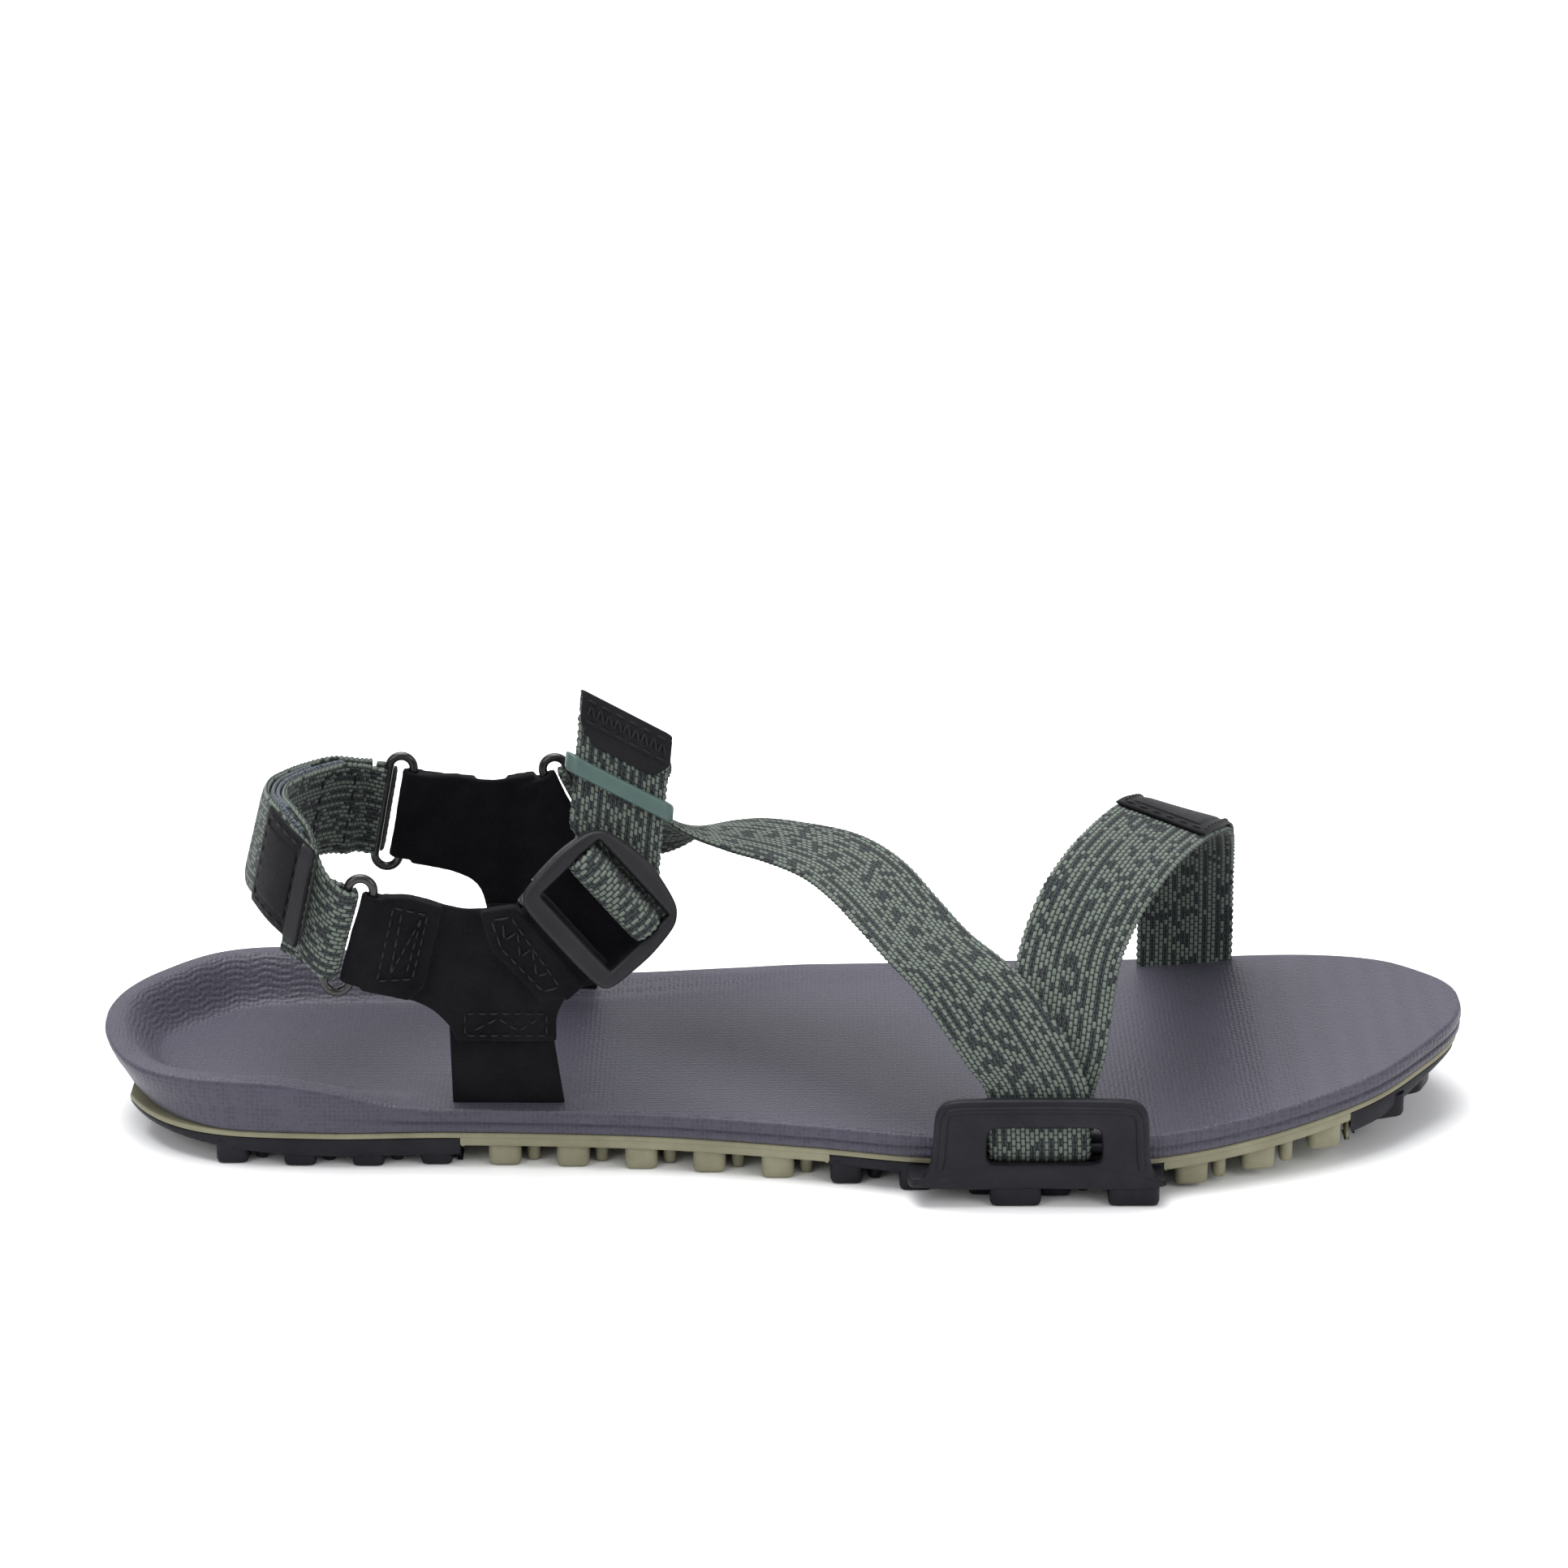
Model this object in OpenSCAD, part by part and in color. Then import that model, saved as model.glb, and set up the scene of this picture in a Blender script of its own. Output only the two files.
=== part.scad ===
// Strappy sport sandal, right foot, as an assembly of separate pieces.
// Origin on the ground under the middle of the sole. +X points to the toe, -Y is the
// outer (lateral) side, +Y the inner (medial) side and +Z up. Sizes are millimetres.

/* [Sole] */
// Length of the sole, heel to toe tip
sole_length = 274; // [266:1:282]
// Thickness of the foam footbed away from the heel cup
footbed_thickness = 5; // [4.6:0.1:5.4]
// Extra height of the heel cup rim, as a factor
cup_rise = 1; // [0.6:0.05:1.1]
// Width of one tread lug along the sole
lug_length = 9; // [7:0.5:10]

/* [Straps] */
// Width of the strap webbing
webbing_width = 20; // [19:0.25:20]
// Thickness of the strap webbing
webbing_thickness = 1.5; // [1.2:0.1:1.5]
// Thickness of one layer of the yoke suede
suede_thickness = 1.5; // [1.3:0.1:1.5]

/* [Hardware] */
// Radius of the ring wire
wire_radius = 0.9; // [0.7:0.05:0.9]
// Radius of the buckle bars
bar_radius = 1.6; // [1.3:0.1:1.6]
// Wall of the rubber keeper loop
keeper_wall = 1.3; // [1:0.1:1.8]
// Length of the keeper loop along the strap
keeper_length = 3.6; // [2.5:0.1:4.5]

/* [Hidden] */
$fn = 48;
bond = 0.1;               // gap left for the glue or seam between two pieces
rubber_bottom = 3.5;      // underside of the rubber, where the lugs start
lug_drop = 1;             // the heights below are measured from this far above the ground
pad_top = 5.1;            // top of the black pads
rubber_top = 6.4;         // top of the olive rubber
footbed_bottom = rubber_top + bond;
footbed_top = footbed_bottom + footbed_thickness;
spring_start = 55;        // the toe lifts ahead of this
toe_spring = 746;         // and its lift is the distance squared over this
heel_spring_start = -115;
heel_spring = 320;
heel_back = -131;         // where the rubber ends at the back
half_length = sole_length / 2;
stations = 46;            // cross-sections along the sole
half_web = webbing_thickness / 2;
layer = webbing_thickness + bond;
wire_bore = wire_radius + 0.12;
bar_bore = bar_radius + 0.18;
wrap_on_wire = 1.02 + half_web + 0.02;
ring_straight = 19.2;     // straight part of a ring, just over the strap fold
ring_half_gap = 2.5;      // half the distance between a ring's two long bars
fold_width = 18.8;        // strap and suede folds inside the rings
buckle_loop_wall = 1.4;    // suede folded round the buckle's bar
ring_loop_wall = 1.1;      // and round a ring's wire

// ---- lines and curves -------------------------------------------------------------

function unit(v) = v / norm(v);
function smooth_step(u) = let (c = min(max(u, 0), 1)) c * c * (3 - 2 * c);

// A smooth value at s through a list of [s, value], in rising order of s
function slope(p, i) =
    let (a = p[max(i - 1, 0)], b = p[min(i + 1, len(p) - 1)]) (b[1] - a[1]) / (b[0] - a[0]);
function span_of(p, s, i = 0) = i >= len(p) - 2 || s <= p[i + 1][0] ? i : span_of(p, s, i + 1);
function smooth(p, s) =
    let (i = span_of(p, s), a = p[i], b = p[i + 1], h = b[0] - a[0],
         u = min(max((s - a[0]) / h, 0), 1), v = 1 - u)
    a[1] * (1 + 2 * u) * v * v + slope(p, i) * h * u * v * v
    + b[1] * u * u * (3 - 2 * u) - slope(p, i + 1) * h * u * u * v;

// A smooth curve through points of any size, with n steps from each to the next
function gap(p, i) = max(norm([p[i + 1][0] - p[i][0], p[i + 1][1] - p[i][1],
                               len(p[i]) > 2 ? p[i + 1][2] - p[i][2] : 0]), 0.01);
function tangent(p, i) =
    i == 0 ? (p[1] - p[0]) / gap(p, 0)
    : i == len(p) - 1 ? (p[i] - p[i - 1]) / gap(p, i - 1)
    : let (g = gap(p, i - 1), h = gap(p, i))
      ((p[i] - p[i - 1]) * h / g + (p[i + 1] - p[i]) * g / h) / (g + h);
function curve_point(p, i, t) =
    let (v = 1 - t, h = gap(p, i))
    p[i] * (1 + 2 * t) * v * v + tangent(p, i) * h * t * v * v
    + p[i + 1] * t * t * (3 - 2 * t) - tangent(p, i + 1) * h * t * t * v;
function curve(p, n) =
    [for (i = [0 : len(p) - 2]) for (k = [0 : n - 1]) curve_point(p, i, k / n), p[len(p) - 1]];

// A solid through a list of closed rings with the same number of points
module skin(rings) {
    n = len(rings[0]);
    last = len(rings) - 1;
    sides = [for (i = [0 : last - 1]) for (j = [0 : n - 1])
        let (k = (j + 1) % n, a = i * n + j, b = i * n + k, c = a + n, d = b + n)
        each [[a, c, b], [b, c, d]]];
    caps = [for (j = [1 : n - 2]) each [[0, j, j + 1], [last * n, last * n + j + 1, last * n + j]]];
    polyhedron(points = [for (r = rings) each r], faces = concat(sides, caps));
}

// Every piece stands this far up, so that the lugs rest on the ground at Z = 0
module standing() {
    translate([0, 0, lug_drop]) children();
}

// ---- straps -----------------------------------------------------------------------
// A strap station is [x, y, z, the direction across the strap as x, y, z, the width].

function place_of(s) = [s[0], s[1], s[2]];
function across_of(s) = [s[3], s[4], s[5]];
function station(p, across, width = webbing_width) =
    [p[0], p[1], p[2], across[0], across[1], across[2], width];

// slanted keeps the stated direction across a strap that leaves its edge at an angle
function strap_ring(path, i, thickness, lift, slanted = false) =
    let (last = len(path) - 1,
         along = unit(place_of(path[min(i + 1, last)]) - place_of(path[max(i - 1, 0)])),
         rough = unit(across_of(path[i])),
         across = slanted ? rough : unit(rough - along * (rough * along)),
         up = unit(cross(along, across)),
         middle = place_of(path[i]) + up * lift,
         a = across * path[i][6] / 2, b = up * thickness / 2)
    [middle - a - b, middle + a - b, middle + a + b, middle - a + b];

module strap(stations_list, thickness = webbing_thickness, lift = 0, steps = 4, slanted = false) {
    path = curve(stations_list, steps);
    skin([for (i = [0 : len(path) - 1]) strap_ring(path, i, thickness, lift, slanted)]);
}

// A layer that follows a strap from one of its stations to another
module patch_on(path, first, last, thickness, lift, slanted = false) {
    fine = curve(path, 4);
    strap([for (i = [4 * first : 4 * last]) fine[i]], thickness, lift, 1, slanted);
}

// Stations that pass round a bar: centre, bar direction, the two directions that span the turn
function turn(centre, bar, out, side, radius, from, to, width, count = 6) =
    [for (k = [0 : count])
        let (a = from + (to - from) * k / count)
        station(centre + radius * (cos(a) * out + sin(a) * side), bar, width)];

// Puts a shape drawn round the Z axis on a bar: Z along the bar, X along ahead
module on_bar(centre, bar, ahead) {
    y = cross(bar, ahead);
    multmatrix([[ahead[0], y[0], bar[0], centre[0]], [ahead[1], y[1], bar[1], centre[1]],
                [ahead[2], y[2], bar[2], centre[2]], [0, 0, 0, 1]]) children();
}

// ---- places of the hardware -------------------------------------------------------

lateral_ring_axis = unit([0.27, 0, 0.963]);
lateral_ring_ahead = unit([0.963, 0, -0.27]);
lateral_ring_centre = [-84.8, -32, 47.3];

medial_ring_axis = unit([0.183, 0, 0.983]);
medial_ring_ahead = unit([0.983, 0, -0.183]);
medial_ring_centre = [-80.1, 32, 50.8];

instep_ring_axis = unit([0.45, 0, -0.893]);
instep_ring_ahead = unit([-0.893, 0, -0.45]);
instep_ring_centre = [-42.6, 32, 51.4];

buckle_along = unit([0.652, 0, -0.758]);
buckle_up = unit([0.715, 0.332, 0.6155]);
buckle_out = cross(buckle_along, buckle_up);
buckle_centre = [-35.2, -29.6, 52.8];
tab_bar = -9.8;           // the yoke's loop turns on this bar,
tab_bar_depth = -3.4;     // which is behind the buckle's face
band_edge = -8;           // the face's lower band ends here
middle_bar = 3;           // the webbing wraps over this bar
far_bar = 9.6;
function on_buckle(along, up, out) =
    buckle_centre + along * buckle_along + up * buckle_up + out * buckle_out;

// The tail's edges slant across it, as webbing does where it leaves a buckle at an angle
tail_start = [-33.2, -23.65, 61.2];
tail_end = [-30.7, -17.65, 86.9];
tail_direction = unit(tail_end - tail_start);
tail_across = unit([0.87, 0.05, -0.49]);
tail_out = unit(cross(tail_across, tail_direction));
keeper_distance = 13;
function on_tail(across, out, along) =
    tail_start + across * tail_across + out * tail_out + along * tail_direction;

// ---- sole -------------------------------------------------------------------------

lateral_line = [[-137, -1], [-129, -23.5], [-115, -32], [-90, -35], [-65, -34.3], [-26, -36.5],
                [5, -42], [26, -47], [50, -50.3], [73, -48.3], [90, -43], [105, -36],
                [118, -27.5], [129, -15], [137, 3]];
medial_line = [[-137, 1], [-129, 19.8], [-117, 31.5], [-100, 35.5], [-70, 35.5], [-39, 35.8],
               [-11, 41.5], [6, 46], [40, 50], [71, 50], [95, 47.5], [111, 42.5],
               [124, 33.5], [132, 22], [137, 6]];
lateral_rim = [[-137, 5.5], [-130, 4.8], [-117, 5.6], [-101, 5.6], [-89, 3.8], [-77, 0.8],
               [-67, 0], [137, 0]];
medial_rim = [[-137, 5.8], [-134, 7], [-128, 8.2], [-116, 8.9], [-100, 8.5], [-80, 6.5],
              [-55, 3.4], [-30, 2.3], [-10, 1.6], [10, 0.6], [30, 0], [137, 0]];

function turn_of(x) = acos(max(min(-x / half_length, 1), -1)) / 180;
function x_of(t) = -half_length * cos(180 * t);
function stretched(line) = [for (p = line) [turn_of(p[0] * half_length / 137), p[1]]];
lateral_by_turn = stretched(lateral_line);
medial_by_turn = stretched(medial_line);
function lateral_edge(x) = smooth(lateral_by_turn, turn_of(x));
function medial_edge(x) = smooth(medial_by_turn, turn_of(x));
function lift_of(x) = x > spring_start ? pow(x - spring_start, 2) / toe_spring
    : x < heel_spring_start ? pow(heel_spring_start - x, 2) / heel_spring : 0;

// The heel's wall leans outward: how far the bottom is inset, and how much it rises at the back
function heel_tuck(x) = 2.5 * smooth_step((-108 - x) / 20);
function heel_rise(x) = 1.25 * max(heel_back - x, 0);

// How far (x, y) is inside the outline, near enough for a rim of even width
function inside_by(x, y) =
    let (side = max(min(y - lateral_edge(x), medial_edge(x) - y), 0.001),
         back = max(x + half_length, 0.001))
    1 / sqrt(1 / (side * side) + 1 / (back * back));
rim_flat = 4;
rim_fall = 11;
function rim_share(x, y) = 1 - smooth_step((inside_by(x, y) - rim_flat) / rim_fall);
function rim_height(x, y) =
    let (low = lateral_edge(x), high = medial_edge(x), u = smooth_step((y - low) / (high - low)))
    cup_rise * ((1 - u) * smooth(lateral_rim, x) + u * smooth(medial_rim, x));
function top_of(x, y) = footbed_top + lift_of(x) + rim_height(x, y) * rim_share(x, y);

edge_insets = [0.9, 2.4, 4, 6.5, 9, 11.5, 14];
function footbed_ring(x) =
    let (low = lateral_edge(x), high = medial_edge(x), half = (high - low) / 2,
         fit = min(1, half / 17), middle = (low + high) / 2, tuck = heel_tuck(x) * fit,
         z = footbed_bottom + lift_of(x) + heel_rise(x),
         from_low = [for (d = edge_insets) low + d * fit],
         from_high = [for (i = [len(edge_insets) - 1 : -1 : 0]) high - edge_insets[i] * fit],
         across = concat(from_low, [middle], from_high),
         top_low = top_of(x, low) - 0.8, top_high = top_of(x, high) - 0.8)
    concat([[x, low + 1.2 * fit + tuck, z], [x, high - 1.2 * fit - tuck, z]],
           [[x, high - tuck, z + 1.2], [x, high, top_high]],
           [for (i = [len(across) - 1 : -1 : 0]) [x, across[i], top_of(x, across[i])]],
           [[x, low, top_low], [x, low + tuck, z + 1.2]]);

// A flat layer of the sole from x0 to x1, inset from the outline
module sole_layer(x0, x1, bottom, top, inset) {
    t0 = turn_of(x0);
    t1 = turn_of(x1);
    count = max(3, round(stations * (t1 - t0)));
    skin([for (i = [0 : count])
        let (x = x_of(t0 + (t1 - t0) * i / count), z = lift_of(x),
             half = (medial_edge(x) - lateral_edge(x)) / 2, cut = min(inset + heel_tuck(x), half * 0.6),
             low = lateral_edge(x) + cut, high = medial_edge(x) - cut,
             under = bottom + z + (bottom == rubber_bottom ? max(-112 - x, 0) * 0.06 : 0))
        [[x, low, under], [x, high, under], [x, high, top + z], [x, low, top + z]]]);
}

lug_step = 13.5;
// One tread lug: a bent bar that points forward, flat underneath
module lug(x, y, length, width) {
    lean = width * 0.22;
    translate([x, y, lift_of(x) - lug_drop]) linear_extrude(rubber_bottom + lug_drop + 0.4)
        polygon([[-length / 2, -width / 2], [length / 2, -width / 2], [length / 2 + lean, 0],
                 [length / 2, width / 2], [-length / 2, width / 2], [-length / 2 + lean, 0]]);
}
module edge_lug(x, y, length, width) {
    translate([x, y, lift_of(x) - lug_drop]) linear_extrude(rubber_bottom + lug_drop + 0.4)
        polygon([[-length / 2, -width / 2], [length / 2 - 1.5, -width / 2], [length / 2, -width / 2 + 2],
                 [length / 2, width / 2], [-length / 2 + 1.5, width / 2], [-length / 2, width / 2 - 2]]);
}
// Rows of lugs whose centres lie from x0 to x1, cut off where their own pad ends
module lugs(x0, x1, pad_start, pad_end) {
    intersection() {
        lug_rows(x0, x1);
        translate([pad_start, -80, -5]) cube([pad_end - pad_start, 160, 40]);
    }
}
module lug_rows(x0, x1) {
    for (i = [-9 : 9]) {
        x = i * lug_step;
        if (x >= x0 && x <= x1) {
            low = lateral_edge(x) + 6;
            high = medial_edge(x) - 6;
            edge_lug(x, low, lug_length, 9);
            edge_lug(x, high, lug_length, 9);
            if (high - low > 44) for (y = [low + (high - low) / 4, high - (high - low) / 4])
                lug(x + lug_step / 2 - 3.5, y, lug_length - 3, 12);
            if (high - low > 26) lug(x - 1, abs(x) < 1 ? 0 : (low + high) / 2, lug_length - 1, 13);
        }
    }
}

heel_pad_end = -64;
ball_pad_start = 9;
ball_pad_end = 74;
toe_pad_start = 112;
toe_pad_end = 135;
wing_start = 29;
wing_end = 70.5;
wing_inner = -51.8;
wing_outer = -54.3;
wing_top = 21.4;
wing_bar = [50, -49, 9.4];
strap_well = [[36.6, -60, 3], [63.6, -46, 30]];

// Room for the strap that loops behind the wing
module strap_room() {
    translate(strap_well[0]) cube(strap_well[1] - strap_well[0]);
}

leg_slits = [[-64.6, -30.7, 23.2], [-61.6, 28.3, 23.4]];   // x, y, length of each slit
toe_slit = [73.6, 43.9, 21];
slit_width = 2.4;
pocket_depth = 2;
// A slit right through the footbed with a pocket under it for the bonded end
module slit(place, inward, reach = 12, depth = pocket_depth) {
    translate([place[0], place[1], 0]) cube([place[2], slit_width, 40]);
    pocket_start = inward > 0 ? place[1] : place[1] + slit_width - reach;
    translate([place[0], pocket_start, 0]) cube([place[2], reach, footbed_bottom + depth]);
}

module footbed() {
    standing() color([0.30, 0.30, 0.35]) difference() {
        skin([for (i = [0 : stations]) footbed_ring(x_of(0.02 + 0.968 * i / stations))]);
        slit(leg_slits[0], 1);
        slit(leg_slits[1], -1);
        translate([0, 0, lift_of(84)]) slit(toe_slit, -1, 13.5, 2.8);
        strap_room();
    }
}

module outsole_olive() {
    standing() color([0.53, 0.54, 0.42]) difference() {
        union() {
            sole_layer(heel_back, 135.8, pad_top + bond, rubber_top, 0.7);
            sole_layer(heel_pad_end + bond, ball_pad_start - bond, rubber_bottom, pad_top + 0.3, 0.7);
            sole_layer(ball_pad_end + bond, toe_pad_start - bond, rubber_bottom, pad_top + 0.3, 0.7);
            lugs(heel_pad_end + 6, ball_pad_start - 6, heel_pad_end + bond, ball_pad_start - bond);
            lugs(ball_pad_end + 6, toe_pad_start - 3, ball_pad_end + bond, toe_pad_start - bond);
        }
        strap_room();
    }
}

module outsole_heel_pad() {
    standing() color([0.13, 0.13, 0.15]) {
        sole_layer(heel_back, heel_pad_end, rubber_bottom, pad_top, 1);
        lugs(-112, heel_pad_end - 3, heel_back, heel_pad_end);
    }
}

wing_face = [[22, 3.5], [26.5, 4.6], [28.6, 7.5], [wing_start, 17], [30.2, 20.2], [33.5, wing_top],
             [66, wing_top], [69.3, 20.2], [wing_end, 17], [71, 7.5], [73, 4.6], [77, 3.5]];
module wing() {
    difference() {
        translate([0, wing_inner, 0]) rotate([90, 0, 0]) linear_extrude(wing_inner - wing_outer)
            polygon(concat([[22, 3]], wing_face, [[77, 3]]));
        translate([40.4, wing_outer - 1, 8]) cube([20, 10, 7.6]);
        for (x = [40.4, 60.4]) translate([x, 0, 11.8]) rotate([90, 0, 0])
            cylinder(r = 1.2, h = 120, center = true);
    }
    translate([22, wing_outer, 3]) cube([ball_pad_end - 22.2, 8.5, pad_top - 3]);
    for (x = [strap_well[0][0] + bond, strap_well[1][0] - bond - 1.2])
        translate([x, wing_inner - 0.2, 3]) cube([1.2, 5.3, 14]);
    translate([strap_well[0][0] + 0.5, wing_bar[1], wing_bar[2]]) rotate([0, 90, 0])
        cylinder(r = 1, h = strap_well[1][0] - strap_well[0][0] - 1);
}
module outsole_ball_pad() {
    standing() color([0.13, 0.13, 0.15]) {
        sole_layer(ball_pad_start, ball_pad_end, rubber_bottom, pad_top, 1);
        lugs(ball_pad_start + 3, ball_pad_end - 3, ball_pad_start, ball_pad_end);
        wing();
        for (x = [45, 68]) translate([x - 5, wing_outer + 0.6, -lug_drop])
            cube([10, 7, rubber_bottom + lug_drop]);
    }
}

module outsole_toe_pad() {
    standing() color([0.13, 0.13, 0.15]) {
        sole_layer(toe_pad_start, toe_pad_end, rubber_bottom, pad_top, 1);
        lugs(toe_pad_start + 2, toe_pad_end - 8, toe_pad_start, toe_pad_end);
    }
}

// ---- suede yokes and their legs ---------------------------------------------------

leg_thickness = 1.8;
flange_z = footbed_bottom + 0.95;
// A leg stands up through its slit and its bonded end lies under the footbed
module leg(x0, x1, y, top, inward) {
    translate([x0, y - leg_thickness / 2, footbed_bottom + bond])
        cube([x1 - x0, leg_thickness, top - footbed_bottom]);
    start = inward > 0 ? y : y - 10;
    translate([x0, start, footbed_bottom + bond]) cube([x1 - x0, 10, 1.7]);
}
module lateral_leg() {
    standing() color([0.10, 0.10, 0.11]) leg(-64.3, -41.8, -29.5, 32, 1);
}
module medial_leg() {
    standing() color([0.10, 0.10, 0.11]) leg(-61.3, -38.6, 29.5, 32, -1);
}

// The folded end of a suede arm: closed round a bar and doubled towards the yoke
module suede_loop(centre, bar, ahead, bore, width, reach, wall = ring_loop_wall) {
    on_bar(centre, bar, ahead) translate([0, 0, -width / 2]) difference() {
        union() {
            cylinder(r = bore + wall, h = width);
            linear_extrude(width) polygon([[0, -bore - wall], [reach, -suede_thickness],
                [reach, suede_thickness], [0, bore + wall]]);
        }
        translate([0, 0, -1]) cylinder(r = bore, h = width + 2);
    }
}

// A flat sheet of suede between two levels of y, from its outline in x and z
module sheet(outline, y0, y1) {
    translate([0, y1, 0]) rotate([90, 0, 0]) linear_extrude(y1 - y0) polygon(outline);
}

yoke_y = 30.6;
lateral_outline = concat(
    curve([[-77.7, 55.6], [-72, 55.4], [-64, 52.9], [-58, 52.6], [-52.2, 53.6]], 3),
    curve([[-39.3, 37.6], [-42.6, 34.3], [-44.5, 30], [-44.6, 25]], 3),
    curve([[-64.4, 25], [-65.5, 28], [-69.5, 32], [-76, 34.6], [-83, 36.2]], 3));
lateral_rear_fold = [[-77.7, 55.6], [-72, 55.4], [-66.5, 53.6], [-70.5, 37], [-73.5, 34.2], [-83, 36.2]];
lateral_front_fold = [[-52.2, 53.6], [-59, 52.5], [-57, 45], [-47.5, 34], [-43.5, 34.6], [-39.3, 37.6]];
module lateral_yoke() {
    standing() color([0.10, 0.10, 0.11]) {
        sheet(lateral_outline, -yoke_y - suede_thickness, -yoke_y);
        sheet(lateral_rear_fold, -yoke_y - 2 * suede_thickness, -yoke_y - 0.5);
        sheet(lateral_front_fold, -yoke_y - 2 * suede_thickness, -yoke_y - 0.5);
        suede_loop(lateral_ring_centre + ring_half_gap * lateral_ring_ahead, lateral_ring_axis,
                   lateral_ring_ahead, wire_bore, fold_width, 7);
        suede_loop(on_buckle(0, tab_bar, tab_bar_depth), buckle_along, -buckle_up, bar_bore, fold_width, 8,
                   buckle_loop_wall);
    }
}

medial_outline = concat(
    curve([[-73.4, 59.2], [-67, 58.8], [-59.5, 57.8], [-54.5, 58.6], [-51.4, 59.2]], 3),
    curve([[-43, 41.8], [-39.6, 37], [-38.6, 31], [-38.6, 25]], 3),
    curve([[-61.3, 25], [-61.6, 31], [-63.5, 35.4], [-68.5, 38.2], [-77, 39.8]], 3));
medial_rear_fold = [[-73.4, 59.2], [-63, 58.1], [-65, 37.4], [-77, 39.8]];
medial_front_fold = [[-51.4, 59.2], [-57, 58.1], [-58, 50], [-48.5, 36.5], [-43, 38], [-43, 41.8]];
module medial_yoke() {
    standing() color([0.10, 0.10, 0.11]) {
        sheet(medial_outline, yoke_y, yoke_y + suede_thickness);
        sheet(medial_rear_fold, yoke_y + 0.5, yoke_y + 2 * suede_thickness);
        sheet(medial_front_fold, yoke_y + 0.5, yoke_y + 2 * suede_thickness);
        suede_loop(medial_ring_centre + ring_half_gap * medial_ring_ahead, medial_ring_axis,
                   medial_ring_ahead, wire_bore, fold_width, 7);
        suede_loop(instep_ring_centre + ring_half_gap * instep_ring_ahead, instep_ring_axis,
                   instep_ring_ahead, wire_bore, fold_width, 7);
    }
}

backing_thickness = 1.3;
// Suede flap behind the buckle, sewn to the inner face of the yoke
module buckle_backing() {
    standing() color([0.10, 0.10, 0.11]) strap([
        station([-51, -29.7, 41.4], buckle_along),
        for (p = [[-15, -7.3], [-9.8, -7.5], [-6, -6.3], [-1.2, -4.5]])
            station(on_buckle(0, p[0], p[1]), buckle_along)], backing_thickness, slanted = true);
}

// ---- hardware ---------------------------------------------------------------------

// A wire ring drawn out to two straight bars with round ends
module wire_ring(centre, bar, ahead) {
    on_bar(centre, bar, ahead) {
        for (side = [-1, 1]) {
            translate([side * ring_half_gap, 0, -ring_straight / 2])
                cylinder(r = wire_radius, h = ring_straight);
            translate([0, 0, side * ring_straight / 2]) rotate([90, 0, 0]) rotate([0, 0, side < 0 ? 180 : 0])
                rotate_extrude(angle = 180) translate([ring_half_gap, 0]) circle(r = wire_radius);
        }
    }
}
module lateral_heel_ring() {
    standing() color([0.05, 0.05, 0.06])
        wire_ring(lateral_ring_centre, lateral_ring_axis, lateral_ring_ahead);
}
module medial_heel_ring() {
    standing() color([0.05, 0.05, 0.06]) wire_ring(medial_ring_centre, medial_ring_axis, medial_ring_ahead);
}
module medial_instep_ring() {
    standing() color([0.05, 0.05, 0.06]) wire_ring(instep_ring_centre, instep_ring_axis, instep_ring_ahead);
}

buckle_half_length = 11.4;
buckle_half_width = 11.3;
buckle_bulge = 2.2;
buckle_thickness = 3.6;
opening_half = 10.4;
// The outer face of the buckle: two straight sides and two arched ends
function buckle_face() = concat(
    [for (a = [-90 : 15 : 90]) [buckle_half_length + buckle_bulge * cos(a), buckle_half_width * sin(a)]],
    [for (a = [90 : 15 : 270]) [-buckle_half_length + buckle_bulge * cos(a), buckle_half_width * sin(a)]]);
module buckle() {
    standing() color([0.07, 0.07, 0.08]) {
        multmatrix([[buckle_along[0], buckle_up[0], buckle_out[0], buckle_centre[0]],
                    [buckle_along[1], buckle_up[1], buckle_out[1], buckle_centre[1]],
                    [buckle_along[2], buckle_up[2], buckle_out[2], buckle_centre[2]], [0, 0, 0, 1]]) {
            difference() {
                translate([0, 0, -buckle_thickness / 2]) linear_extrude(buckle_thickness)
                    polygon(buckle_face());
                translate([-opening_half, band_edge, -5])
                    cube([2 * opening_half, far_bar - band_edge, 10]);
                translate([-opening_half, tab_bar - 6, -5]) cube([2 * opening_half, 8, 5 - 0.1]);
            }
            for (v = [middle_bar, far_bar]) translate([-opening_half - 0.5, v, 0]) rotate([0, 90, 0])
                cylinder(r = bar_radius, h = 2 * opening_half + 1);
            translate([-opening_half - 0.5, far_bar, -bar_radius])
                cube([2 * opening_half + 1, 1.7, 2 * bar_radius]);
            translate([-opening_half - 0.5, tab_bar, tab_bar_depth]) rotate([0, 90, 0])
                cylinder(r = bar_radius, h = 2 * opening_half + 1);
            for (side = [-1, 1]) translate([side * (opening_half + 0.6), tab_bar, tab_bar_depth])
                cheek();
        }
    }
}
// The end of the hidden bar, joined to the frame
module cheek() {
    rotate([0, 90, 0]) cylinder(r = bar_radius + 0.3, h = 1.2, center = true);
    translate([-0.6, -bar_radius - 0.3, 0]) cube([1.2, 2 * bar_radius + 0.6, 2.5]);
}

keeper_inner_width = webbing_width + 0.7;
keeper_inner_height = 2 * webbing_thickness + bond + 0.7;
function rounded(width, height, corner) =
    [for (q = [0 : 3]) for (a = [0 : 15 : 90])
        let (sx = (q == 0 || q == 3) ? 1 : -1, sy = q < 2 ? 1 : -1)
        [sx * (width / 2 - corner) + corner * cos(90 * q + a),
         sy * (height / 2 - corner) + corner * sin(90 * q + a)]];
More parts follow.
